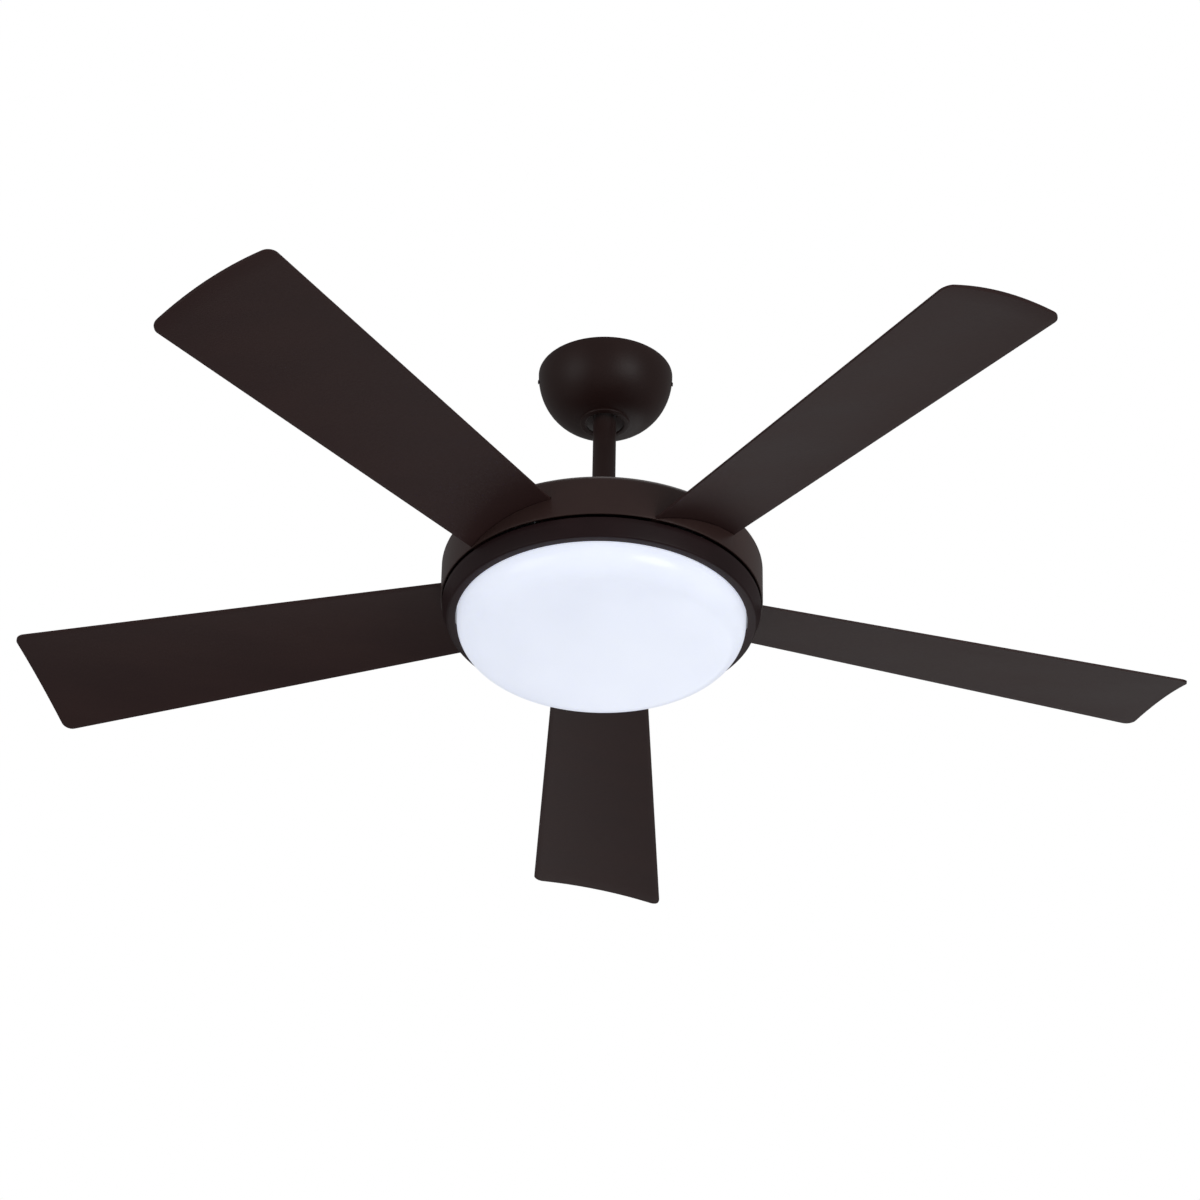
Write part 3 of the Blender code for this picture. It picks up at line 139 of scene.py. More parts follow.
BLADE_COUNT = 5
BLADE_START = math.radians(90)
BLADE_ROOT_R = 0.1280
BLADE_RISE = 0.0130            # from the drum's lower edge to the middle of the chord line
BLADE_PITCH = math.radians(12.0)
BLADE_ROOT_CHORD = 0.1040
BLADE_TIP_CHORD = 0.1520
BLADE_ROOT_CAMBER = 0.0045
BLADE_TIP_CAMBER = 0.0070
BLADE_THICK = 0.0045
BLADE_EDGE_THICK = 0.0024
BLADE_CORNER_R = 0.0110
BLADE_TIP_BULGE = 0.0020
BLADE_SLOT_GAP = 0.0008
STUD_PITCH = 0.0320
STUD_PLACE = 0.1425
STUD_HOLE_R = 0.0031


def box(node):
    low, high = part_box(node)
    return Vector(low), Vector(high)


# ---------------------------------------------------------------- modelling helpers
def deselect():
    if bpy.context.object and bpy.context.object.mode != "OBJECT":
        bpy.ops.object.mode_set(mode="OBJECT")
    bpy.ops.object.select_all(action="DESELECT")


def pick(piece):
    deselect()
    bpy.context.view_layer.objects.active = piece
    piece.select_set(True)
    return piece


def edit(piece, mode="VERT"):
    pick(piece)
    bpy.ops.object.mode_set(mode="EDIT")
    bpy.ops.mesh.select_mode(type=mode)


def settle():
    """Leave edit mode and put the new object's place into its mesh."""
    bpy.ops.object.mode_set(mode="OBJECT")
    bpy.ops.object.transform_apply(location=True, rotation=True, scale=True)
    return bpy.context.object


def outward(piece):
    """Merge doubles and turn all faces out, before a wall gets its thickness."""
    edit(piece)
    bpy.ops.mesh.select_all(action="SELECT")
    bpy.ops.mesh.remove_doubles(threshold=0.00001)
    bpy.ops.mesh.normals_make_consistent(inside=False)
    bpy.ops.object.mode_set(mode="OBJECT")


def apply(piece, kind, **settings):
    pick(piece)
    step = piece.modifiers.new(kind.lower(), kind)
    for key, value in settings.items():
        setattr(step, key, value)
    bpy.ops.object.modifier_apply(modifier=step.name)


def rounded(piece, width=EDGE_ROUND, segments=2, angle=40):
    apply(piece, "BEVEL", width=width, segments=segments, limit_method="ANGLE",
          angle_limit=math.radians(angle), harden_normals=False)


def smooth(piece, angle=40):
    pick(piece)
    bpy.ops.object.shade_smooth_by_angle(angle=math.radians(angle))


def lathe(name, profile, segments=RING_SEGMENTS, close=False):
    """A circle extruded ring by ring along (radius, height) points, like clay on a wheel."""
    deselect()
    radius, height = profile[0]
    bpy.ops.mesh.primitive_circle_add(vertices=segments, radius=radius, location=(0, 0, height))
    piece = settle()
    piece.name = name
    edit(piece, "EDGE")
    bpy.ops.mesh.select_all(action="SELECT")
    for next_radius, next_height in profile[1:]:
        rise = next_height - height
        bpy.ops.mesh.extrude_region_move(TRANSFORM_OT_translate={"value": (0, 0, rise)})
        share = next_radius / radius
        bpy.ops.transform.resize(value=(share, share, 1), center_override=(0, 0, next_height))
        radius, height = next_radius, next_height
    if close:
        bpy.ops.mesh.edge_face_add()
    bpy.ops.object.mode_set(mode="OBJECT")
    return piece


def arc(middle, radius, start, end, count):
    """Points on an arc, as (radius, height) pairs, from one angle to another in degrees."""
    turns = [math.radians(start + (end - start) * k / (count - 1)) for k in range(count)]
    return [(middle[0] + radius * math.cos(t), middle[1] + radius * math.sin(t)) for t in turns]


def bar(name, radius, start, end, segments=TUBE_SEGMENTS):
    """A round bar between two points."""
    deselect()
    line = Vector(end) - Vector(start)
    turn = line.to_track_quat("Z", "Y").to_euler()
    bpy.ops.mesh.primitive_cylinder_add(vertices=segments, radius=radius, depth=line.length,
                                        location=(Vector(start) + Vector(end)) / 2, rotation=turn)
    piece = settle()
    piece.name = name
    return piece


def slab(name, low, high):
    """A block between two corners."""
    deselect()
    size = Vector(high) - Vector(low)
    bpy.ops.mesh.primitive_cube_add(size=1, location=(Vector(low) + Vector(high)) / 2, scale=size)
    piece = settle()
    piece.name = name
    return piece


def boolean(piece, others, operation):
    for other in others:
        apply(piece, "BOOLEAN", object=other, operation=operation, solver="EXACT")
        bpy.data.objects.remove(other, do_unlink=True)
    return piece


def cut(piece, *others):
    return boolean(piece, others, "DIFFERENCE")


def join(piece, *others):
    return boolean(piece, others, "UNION")


def placed(piece, direction, point):
    """Turn a piece modelled along +Z to a direction and move it to a point, in its mesh."""
    turn = Vector(direction).to_track_quat("Z", "Y").to_matrix().to_4x4()
    piece.data.transform(Matrix.Translation(point) @ turn)
    return piece


def finish_piece(piece, body, slot, material, *nodes):
    """Give a piece its finish and its body, and hide the frame nodes it stands for."""
    piece.data.materials.clear()
    piece.data.materials.append(material)
    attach(piece, body)
    if nodes:
        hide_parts(*nodes)
    return piece


# ---------------------------------------------------------------- material helpers
def colour(text):
    """An sRGB hex value as a linear colour."""
    parts = [int(text[k:k + 2], 16) / 255 for k in (1, 3, 5)]
    linear = [c / 12.92 if c <= 0.04045 else ((c + 0.055) / 1.055) ** 2.4 for c in parts]
    return (*linear, 1.0)


def per_mm(millimetres):
    """Noise scale for patches of about so many millimetres."""
    return 1000.0 / millimetres


def wave_scale(band_mm):
    """Wave scale for bands that repeat every tau times band_mm: a wave turns 20 radians a unit."""
    return per_mm(band_mm) / 20


def add(tree, kind, settings=None, links=None):
    """Add a node, set its values by name and link its inputs."""
    made = tree.nodes.new(kind)
    for key, value in (settings or {}).items():
        if key in made.inputs:
            made.inputs[key].default_value = value
        else:
            setattr(made, key, value)
    for key, source in (links or {}).items():
        tree.links.new(source, made.inputs[key])
    return made


def start_material(name, settings):
    """A Principled material, its shader's fixed values, and its object coordinates."""
    made = bpy.data.materials.new(name)
    made.use_nodes = True
    tree = made.node_tree
    shader = tree.nodes["Principled BSDF"]
    for key, value in settings.items():
        shader.inputs[key].default_value = value
    place = add(tree, "ShaderNodeTexCoord").outputs["Object"]
    return made, tree, shader, place


def ramp(tree, source, low, high, low_at=0.35, high_at=0.65):
    """Two colours blended by a pattern."""
    made = add(tree, "ShaderNodeValToRGB", links={"Fac": source})
    made.color_ramp.elements[0].position = low_at
    made.color_ramp.elements[0].color = low
    made.color_ramp.elements[1].position = high_at
    made.color_ramp.elements[1].color = high
    return made.outputs["Color"]


def textured(name, settings, dark, light, patch_mm, grain_mm, rough, bump, squeeze=(1, 1, 1)):
    """A finish with soft colour patches, a fine grain in its surface and uneven gloss."""
    made, tree, shader, place = start_material(name, settings)
    mapping = add(tree, "ShaderNodeMapping", {"Scale": squeeze}, {"Vector": place})
    stretched = mapping.outputs["Vector"]
    patches = add(tree, "ShaderNodeTexNoise", {"Scale": per_mm(patch_mm), "Detail": 4.0},
                  {"Vector": stretched}).outputs["Fac"]
    grain = add(tree, "ShaderNodeTexNoise", {"Scale": per_mm(grain_mm), "Detail": 2.0},
                {"Vector": stretched}).outputs["Fac"]
    tree.links.new(ramp(tree, patches, colour(dark), colour(light)), shader.inputs["Base Color"])
    gloss = add(tree, "ShaderNodeMapRange", {"To Min": rough[0], "To Max": rough[1]}, {"Value": patches})
    tree.links.new(gloss.outputs["Result"], shader.inputs["Roughness"])
    relief = add(tree, "ShaderNodeBump", {"Strength": bump[0], "Distance": bump[1]}, {"Height": grain})
    tree.links.new(relief.outputs["Normal"], shader.inputs["Normal"])
    return made


def banded(name, settings, dark, light, band_mm, rough, bump):
    """A finish of level bands, one above another, drawn coarser than the real ones so that they show."""
    made, tree, shader, place = start_material(name, settings)
    bands = add(tree, "ShaderNodeTexWave", {"Scale": wave_scale(band_mm), "bands_direction": "Z",
                                            "Distortion": 0.4}, {"Vector": place}).outputs["Fac"]
    tree.links.new(ramp(tree, bands, colour(dark), colour(light)), shader.inputs["Base Color"])
    gloss = add(tree, "ShaderNodeMapRange", {"To Min": rough[0], "To Max": rough[1]}, {"Value": bands})
    tree.links.new(gloss.outputs["Result"], shader.inputs["Roughness"])
    relief = add(tree, "ShaderNodeBump", {"Strength": bump[0], "Distance": bump[1]}, {"Height": bands})
    tree.links.new(relief.outputs["Normal"], shader.inputs["Normal"])
    return made


# ---------------------------------------------------------------- materials
def make_finishes():
    finishes = {}
    # Powder coat on pressed steel: a satin film with faint orange peel, slightly uneven in gloss.
    finishes["paint"] = textured(
        "tobacco_powder_coat", {"IOR": 1.5, "Specular IOR Level": 0.34}, "#321f1d", "#3a2623",
        patch_mm=90, grain_mm=1.1, rough=(0.40, 0.50), bump=(0.12, 0.0004))
    # The same film on the drum's rolled side, made a touch lighter: painted light, standing in for the light
    # the drum catches from the room.
    finishes["drum_paint"] = textured(
        "tobacco_powder_coat_painted_light", {"IOR": 1.5, "Specular IOR Level": 0.45}, "#46322f", "#4f3a36",
        patch_mm=120, grain_mm=1.2, rough=(0.36, 0.46), bump=(0.12, 0.0004))
    # The trim ring is moulded and painted to match, and is less glossy than the drum. Its colour, a shade
    # deeper than the drum, is painted shade, because the ring faces down, away from the light.
    finishes["ring"] = textured(
        "tobacco_paint_painted_shade", {"IOR": 1.5, "Specular IOR Level": 0.28}, "#2b1a1c", "#332022",
        patch_mm=80, grain_mm=1.0, rough=(0.44, 0.54), bump=(0.10, 0.0004))
    # Injection-moulded ABS: spark-eroded grain, matte, drawn out a little along X.
    finishes["blade"] = textured(
        "moulded_abs_blade", {"IOR": 1.53, "Specular IOR Level": 0.3}, "#3e2827", "#442d2b",
        patch_mm=60, grain_mm=1.4, rough=(0.46, 0.58), bump=(0.22, 0.0005), squeeze=(0.35, 1, 1))
    finishes["opal"] = opal_acrylic()
    # Zinc plate on pressed steel: bright, blue-grey, with a fine uneven spangle.
    finishes["zinc"] = textured(
        "zinc_plated_steel", {"Metallic": 1.0}, "#9a9c9f", "#c3c5c8",
        patch_mm=5, grain_mm=0.8, rough=(0.28, 0.46), bump=(0.10, 0.0002), squeeze=(1, 1, 3))
    # Ground and hardened bearing steel: bright and smooth, with faint rings left by grinding.
    finishes["bearing"] = banded(
        "ground_bearing_steel", {"Metallic": 1.0}, "#a9aaac", "#cfd0d2",
        band_mm=0.6, rough=(0.12, 0.22), bump=(0.08, 0.0001))
    # Stacked silicon-steel sheets: dull blue-grey, in bands like the sheets' edges.
    finishes["core"] = banded(
        "laminated_silicon_steel", {"Metallic": 0.9}, "#3b3d42", "#6b6e74",
        band_mm=1.0, rough=(0.35, 0.55), bump=(0.35, 0.0003))
    # Enamelled magnet wire: deep orange-red varnish over copper, ridged like wound turns.
    finishes["copper"] = banded(
        "enamelled_magnet_wire", {"Metallic": 0.85, "Coat Weight": 0.6}, "#6e2f14", "#b5612f",
        band_mm=1.2, rough=(0.25, 0.40), bump=(0.55, 0.0005))
    # Sintered ferrite: black ceramic, matte and slightly grainy.
    finishes["ferrite"] = textured(
        "sintered_ferrite", {"IOR": 2.2}, "#232326", "#323236",
        patch_mm=4, grain_mm=0.9, rough=(0.55, 0.72), bump=(0.25, 0.0003))
    # Die-cast aluminium: soft satin with a cast skin.
    finishes["cast"] = textured(
        "die_cast_aluminium", {"Metallic": 1.0}, "#a6a8aa", "#c0c2c4",
        patch_mm=14, grain_mm=1.5, rough=(0.38, 0.55), bump=(0.30, 0.0005))
    # White powder coat, the reflector behind the light source.
    finishes["white"] = textured(
        "white_powder_coat", {"IOR": 1.5}, "#e6e6e2", "#f1f1ee",
        patch_mm=40, grain_mm=1.2, rough=(0.42, 0.52), bump=(0.12, 0.0003))
    # Moulded polycarbonate box, light grey and finely textured.
    finishes["casing"] = textured(
        "moulded_polycarbonate", {"IOR": 1.58}, "#d6d6d2", "#e2e2de",
        patch_mm=25, grain_mm=0.9, rough=(0.45, 0.58), bump=(0.20, 0.0004))
    # Vulcanised rubber: black with a dusty bloom.
    finishes["rubber"] = textured(
        "vulcanised_rubber", {"IOR": 1.52}, "#191919", "#2b2a29",
        patch_mm=6, grain_mm=0.7, rough=(0.70, 0.88), bump=(0.30, 0.0003))
    finishes["board"] = led_board()
    # PVC sheath, extruded: faint draw lines, long in the upright direction.
    finishes["sheath"] = textured(
        "extruded_pvc_sheath", {"IOR": 1.53}, "#d9d8d2", "#e7e6e1",
        patch_mm=8, grain_mm=0.8, rough=(0.40, 0.52), bump=(0.15, 0.0003), squeeze=(1, 1, 0.1))
    return finishes


def opal_acrylic():
    """Opal acrylic: milky, faintly blue, light scattered inside it, a soft gloss on top, and a painted glow
    from its emission.
    """
    # The emission is painted light: the diffuser glows evenly on its own, with no lamp in the scene behind
    # it.
    made, tree, shader, place = start_material("opal_acrylic", {
        "IOR": 1.49, "Subsurface Weight": 0.35, "Subsurface Radius": (0.02, 0.02, 0.025),
        "Subsurface Scale": 0.2, "Emission Color": colour("#e4e9f6"), "Emission Strength": 0.68,
        "Coat Weight": 0.15, "Coat Roughness": 0.12})
    haze = add(tree, "ShaderNodeTexNoise", {"Scale": per_mm(70), "Detail": 3.0},
               {"Vector": place}).outputs["Fac"]
    tree.links.new(ramp(tree, haze, colour("#dfe3ea"), colour("#e9edf4")), shader.inputs["Base Color"])
    gloss = add(tree, "ShaderNodeMapRange", {"To Min": 0.20, "To Max": 0.27}, {"Value": haze})
    tree.links.new(gloss.outputs["Result"], shader.inputs["Roughness"])
    ripple = add(tree, "ShaderNodeTexNoise", {"Scale": per_mm(9), "Detail": 1.0},
                 {"Vector": place}).outputs["Fac"]
    relief = add(tree, "ShaderNodeBump", {"Strength": 0.04, "Distance": 0.0003}, {"Height": ripple})
    tree.links.new(relief.outputs["Normal"], shader.inputs["Normal"])
    return made


def led_board():
    """White solder mask with faint copper tracks under it, in rings round the board."""
    made, tree, shader, place = start_material("white_solder_mask", {"IOR": 1.5, "Coat Weight": 0.3})
    tracks = add(tree, "ShaderNodeTexWave", {"wave_type": "RINGS", "rings_direction": "Z",
                                             "Scale": wave_scale(9)}, {"Vector": place}).outputs["Fac"]
    tint = ramp(tree, tracks, colour("#e9e9e4"), colour("#f6f6f3"), 0.1, 0.3)
    tree.links.new(tint, shader.inputs["Base Color"])
    gloss = add(tree, "ShaderNodeMapRange", {"To Min": 0.30, "To Max": 0.38}, {"Value": tracks})
    tree.links.new(gloss.outputs["Result"], shader.inputs["Roughness"])
    relief = add(tree, "ShaderNodeBump", {"Strength": 0.2, "Distance": 0.0001}, {"Height": tracks})
    tree.links.new(relief.outputs["Normal"], shader.inputs["Normal"])
    return made


# ---------------------------------------------------------------- canopy
def make_canopy(f):
    low, high = box("canopy")
    side = high.x - CANOPY_FLAT_R
    depth = high.z - low.z
    # The bowl curves in from the rim and ends in a shallow raised disc round the rod's hole.
    bowl = [(CANOPY_FLAT_R + side * math.cos(a), high.z - (depth - CANOPY_FOOT) * math.sin(a))
            for a in (CANOPY_SWEEP * k / CANOPY_STEPS for k in range(CANOPY_STEPS + 1))]
    edge = bowl[-1][0]
    profile = bowl + arc((edge - CANOPY_FOOT_R, low.z + CANOPY_FOOT_R), CANOPY_FOOT_R, 0, -90, 4)
    profile += [(CANOPY_HOLE_R + CANOPY_HEM, low.z)]
    profile += arc((CANOPY_HOLE_R + CANOPY_HEM_R, low.z + CANOPY_HEM_R), CANOPY_HEM_R, -90, -180, 4)
    canopy = lathe("canopy_bowl", profile)
    outward(canopy)
    apply(canopy, "SOLIDIFY", thickness=SHEET_WALL, offset=-1)
    height = high.z + CEILING_GAP - CANOPY_SCREW_DROP
    for sign in (-1, 1):
        inside = (sign * (high.x - CANOPY_HOLE_DEPTH), 0, height)
        outside = (sign * (high.x + CUT_PAST), 0, height)
        cut(canopy, bar("hole", SCREW_HOLE_R, inside, outside, SCREW_SEGMENTS))
    rounded(canopy, FINE_ROUND, 2, 50)
    smooth(canopy)
    finish_piece(canopy, "ceiling_mount", "bronze_paint", f["paint"], "canopy")
    for name, sign in (("left", -1), ("right", 1)):
        node = "canopy_screw_" + name
        low, high = box(node)
        middle = (low + high) / 2
        tip = high.x if sign < 0 else low.x
        head = low.x if sign < 0 else high.x
        screw = screw_piece(node + "_low_head", (head, middle.y, middle.z), (sign, 0, 0), abs(head - tip),
                            (high.z - low.z) / 2, CANOPY_SCREW_HEAD_H)
        finish_piece(screw, "ceiling_mount", "bronze_paint", f["paint"], node)


def screw_piece(name, top, direction, length, head_r, head_h=SCREW_HEAD_H, shank_r=SCREW_SHANK_R):
    """A domed screw with a cross recess. top is the crown of its head, direction points out of it."""
    dome = arc((0, -head_h), head_r, 8, 80, 7)
    lift = head_h / (head_r * math.sin(math.radians(80)))
    dome = [(r, -head_h + (z + head_h) * lift) for r, z in dome]
    profile = dome[::-1] + [(head_r, -head_h), (shank_r, -head_h), (shank_r, -length)]
    piece = lathe(name, profile, SCREW_SEGMENTS, close=True)
    edit(piece, "EDGE")
    bpy.ops.mesh.select_non_manifold()
    bpy.ops.mesh.edge_face_add()
    bpy.ops.object.mode_set(mode="OBJECT")
    outward(piece)
    reach = head_r * RECESS_REACH
    breadth = head_r * RECESS_BREADTH
    for across in ((reach, breadth), (breadth, reach)):
        cut(piece, slab("recess", (-across[0], -across[1], -head_h * RECESS_DEPTH), (*across, head_h)))
    smooth(piece, 35)
    return placed(piece, direction, top)


# ---------------------------------------------------------------- ceiling bracket and hanger
def make_bracket(f):
    """A pressed strip with two lugs for the hanger bolt and two tabs for the canopy's screws."""
    low, high = box("ceiling_bracket")
    wall = BRACKET_WALL
    lug = BRACKET_LUG_PLACE
    w = high.y
    strip = slab("hanger_strip", (low.x, -w, -wall), (high.x, w, 0))
    for sign in (-1, 1):
        inner, outer = sorted((sign * lug, sign * (lug + wall)))
        near, far = sorted((sign * (high.x - wall), sign * high.x))
        join(strip, slab("lug", (inner, -w, low.z), (outer, w, -wall / 2)))
        join(strip, slab("tab", (near, -w, -BRACKET_TAB_DROP), (far, w, -wall / 2)))
    for sign in (-1, 1):
        middle = sign * SLOT_PLACE
        slot = slab("slot", (middle - SLOT_HALF, -SLOT_R, -CUT_PAST), (middle + SLOT_HALF, SLOT_R, CUT_PAST))
        for end in (-1, 1):
            x = middle + end * SLOT_HALF
            join(slot, bar("slot_end", SLOT_R, (x, 0, -0.0098), (x, 0, 0.0098), SCREW_SEGMENTS))
        cut(strip, slot)
        inside = (sign * (lug + CUT_PAST), 0, -CANOPY_SCREW_DROP)
        outside = (sign * (high.x + CUT_PAST), 0, -CANOPY_SCREW_DROP)
        cut(strip, bar("hole", SCREW_HOLE_R, inside, outside, SCREW_SEGMENTS))
    cut(strip, bar("bolt_hole", HANGER_BOLT_R + BOLT_ROOM, (-0.03, 0, -HANGER_DROP), (0.03, 0, -HANGER_DROP)))
    trim_corners(strip, low.z, BRACKET_CORNER_R)
    rounded(strip, EDGE_ROUND, 2, 50)
    smooth(strip, 35)
    finish_piece(strip, "ceiling_mount", "zinc_steel", f["zinc"], "ceiling_bracket")


def trim_corners(strip, bottom, size):
    """Round the lugs' lower corners, seen along the bolt."""
    edit(strip, "EDGE")
    bpy.ops.mesh.select_all(action="DESELECT")
    mesh = bmesh.from_edit_mesh(strip.data)
    for edge in mesh.edges:
        a, b = (v.co for v in edge.verts)
        along_x = abs(a.x - b.x) > 0.001 and abs(a.y - b.y) < 1e-6 and abs(a.z - b.z) < 1e-6
        if along_x and abs(a.z - bottom) < 1e-5 and abs(abs(a.y) - abs(b.y)) < 1e-6 and abs(a.y) > 0.01:
            edge.select = True
    bmesh.update_edit_mesh(strip.data)
    bpy.ops.mesh.bevel(offset=size, segments=6, affect="EDGES")
    bpy.ops.object.mode_set(mode="OBJECT")


def hexagon(name, across_r, height):
    """A six-sided head or nut along +Z, its corners turned to a chamfer at both ends."""
    deselect()
    bpy.ops.mesh.primitive_cylinder_add(vertices=6, radius=across_r, depth=height,
                                        location=(0, 0, height / 2))
    piece = settle()
    piece.name = name
    cone = lathe("chamfer", [(across_r * 0.90, -0.0001), (across_r * 1.02, height * 0.16),
                             (across_r * 1.02, height * 0.84), (across_r * 0.90, height + 0.0001)],
                 TUBE_SEGMENTS, close=True)
    edit(cone, "EDGE")
    bpy.ops.mesh.select_non_manifold()
    bpy.ops.mesh.edge_face_add()
    bpy.ops.object.mode_set(mode="OBJECT")
    outward(cone)
    return boolean(piece, [cone], "INTERSECT")


def make_hanger(f):
    low, high = box("hanger_bolt")
    head_h = HANGER_HEAD_H
    bolt = hexagon("hanger_bolt_hex", HANGER_HEX_R, head_h)
    length = high.x - low.x
    join(bolt, bar("shank", HANGER_BOLT_R, (0, 0, head_h / 2), (0, 0, -(length - head_h))))
    placed(bolt, (-1, 0, 0), (low.x + head_h, 0, -HANGER_DROP))
    low, high = box("split_pin")
    middle = (low + high) / 2
    cut(bolt, bar("pin_hole", PIN_HOLE_R, (middle.x, 0, -0.05), (middle.x, 0, 0), SCREW_SEGMENTS))
    rounded(bolt, BOLT_ROUND, 2, 50)
    smooth(bolt, 35)
    finish_piece(bolt, "ceiling_mount", "zinc_steel", f["zinc"], "hanger_bolt")
    nut_low, nut_high = box("hanger_nut")
    nut = hexagon("hanger_nut_hex", HANGER_HEX_R, nut_high.x - nut_low.x)
    cut(nut, bar("bore", HANGER_BOLT_R + BOLT_ROOM, (0, 0, -0.01), (0, 0, 0.02)))
    placed(nut, (1, 0, 0), (nut_low.x, 0, -HANGER_DROP))
    smooth(nut, 35)
    finish_piece(nut, "ceiling_mount", "zinc_steel", f["zinc"], "hanger_nut")
    pin = split_pin(middle.x, high.z, low.z)
    finish_piece(pin, "ceiling_mount", "zinc_steel", f["zinc"], "split_pin")


def split_pin(x, top, bottom):
    """A bent wire pin: an eye above the bolt and two legs through it."""
    wire = PIN_WIRE_R
    eye = PIN_EYE_R
    turns = [math.radians(-60 + 300 * k / 12) for k in range(13)]
    loop = [(x + eye * math.sin(t), 0, top - eye - wire - eye * math.cos(t) * 0.9) for t in turns]
    legs_low = bottom + wire
    points = [(x - wire, 0, legs_low)] + loop + [(x + wire, 0, legs_low)]
    deselect()
    curve = bpy.data.curves.new("split_pin_wire", "CURVE")
    curve.dimensions = "3D"
    curve.bevel_depth = wire * 0.95
    curve.bevel_resolution = 3
    curve.use_fill_caps = True
    spline = curve.splines.new("POLY")
    spline.points.add(len(points) - 1)
    for point, place in zip(spline.points, points):
        point.co = (*place, 1)
    piece = bpy.data.objects.new("split_pin_wire", curve)
    bpy.context.collection.objects.link(piece)
    pick(piece)
    bpy.ops.object.convert(target="MESH")
    smooth(bpy.context.object, 60)
    return bpy.context.object


# ---------------------------------------------------------------- receiver and lead
def make_receiver(f):
    """A moulded box with rounded corners, a lid line, cooling slots and a fixing tongue."""
    low, high = box("remote_receiver")
    start = low.y + RECEIVER_TONGUE
    case = slab("receiver_case", (low.x, start, low.z), (high.x, high.y, high.z))
    edit(case, "EDGE")
    bpy.ops.mesh.select_all(action="DESELECT")
    mesh = bmesh.from_edit_mesh(case.data)
    for edge in mesh.edges:
        a, b = (v.co for v in edge.verts)
        edge.select = abs(a.z - b.z) > 0.001
    bmesh.update_edit_mesh(case.data)
    bpy.ops.mesh.bevel(offset=RECEIVER_CORNER_R, segments=5, affect="EDGES")
    bpy.ops.object.mode_set(mode="OBJECT")
    join(case, slab("tongue", (-0.010, low.y, high.z - 0.002), (0.010, start + 0.001, high.z - 0.0002)))
    for k in range(VENT_COUNT):
        x = (k - VENT_COUNT // 2) * VENT_PITCH
        cut(case, slab("vent", (x - 0.001, high.y - 0.018, low.z - 0.001),
                       (x + 0.001, high.y - 0.006, low.z + 0.001)))
    line = low.z + LID_LINE_RISE
    groove = slab("lid_line", (low.x - 0.001, start - 0.001, line),
                  (high.x + 0.001, high.y + 0.001, line + LID_LINE_WIDTH))
    core = slab("core", (low.x + LID_LINE_DEPTH, start + LID_LINE_DEPTH, line - 0.001),
                (high.x - LID_LINE_DEPTH, high.y - LID_LINE_DEPTH, line + 0.002))
    cut(groove, core)
    cut(case, groove)
    rounded(case, EDGE_ROUND, 2, 50)
    smooth(case, 35)
    finish_piece(case, "ceiling_mount", "moulded_plastic", f["casing"], "remote_receiver")


# ---------------------------------------------------------------- rod and coupling cover
def make_rod(f):
    low, high = box("downrod")
    radius = high.x
    rod = lathe("downrod_tube", [(radius, high.z), (radius, low.z)], TUBE_SEGMENTS * 2)
    outward(rod)
    apply(rod, "SOLIDIFY", thickness=ROD_WALL, offset=-1)
    outer_wall(rod, radius)
    cut(rod, bar("hole", HANGER_BOLT_R + BOLT_ROOM, (-0.02, 0, -HANGER_DROP), (0.02, 0, -HANGER_DROP)))
    bolt_low, bolt_high = box("coupling_bolt")
    height = (bolt_low.z + bolt_high.z) / 2
    cut(rod, bar("hole", COUPLING_HOLE_R, (-0.02, 0, height), (0.02, 0, height)))
    rounded(rod, EDGE_ROUND, 2, 50)
    smooth(rod)
    finish_piece(rod, "hanging_frame", "bronze_paint", f["paint"], "downrod")


def outer_wall(piece, radius):
    """Stop if a wall grew outwards, judged by the widest point."""
    widest = max(v.co.xy.length for v in piece.data.vertices)
    if widest > radius + 0.0002:
        raise ValueError(piece.name + " grew outwards")


def make_cover(f):
    low, high = box("coupling_cover")
    neck = COVER_NECK_R + SHEET_WALL
    side = high.x - neck
    height = high.z - low.z
    profile = [(COVER_NECK_R + 0.0002, high.z)]
    profile += [(neck + side * math.cos(a), low.z + height * math.sin(a))
                for a in (math.radians(90 - 90 * k / 18) for k in range(19))]
    cover = lathe("coupling_cover_bell", profile, 96)
    outward(cover)
    apply(cover, "SOLIDIFY", thickness=SHEET_WALL, offset=-1)
    outer_wall(cover, high.x)
    rounded(cover, FINE_ROUND, 2, 60)
    smooth(cover, 50)
    finish_piece(cover, "hanging_frame", "bronze_paint", f["paint"], "coupling_cover")


# ---------------------------------------------------------------- blades
def chord(radius, tip):
    """Half of the blade's width at a distance from the spin axis, and how far out that is."""
    drum = box("drum_shell")[1].x
    along = (radius - drum) / (tip - drum)
    return (BLADE_ROOT_CHORD + (BLADE_TIP_CHORD - BLADE_ROOT_CHORD) * along) / 2, along


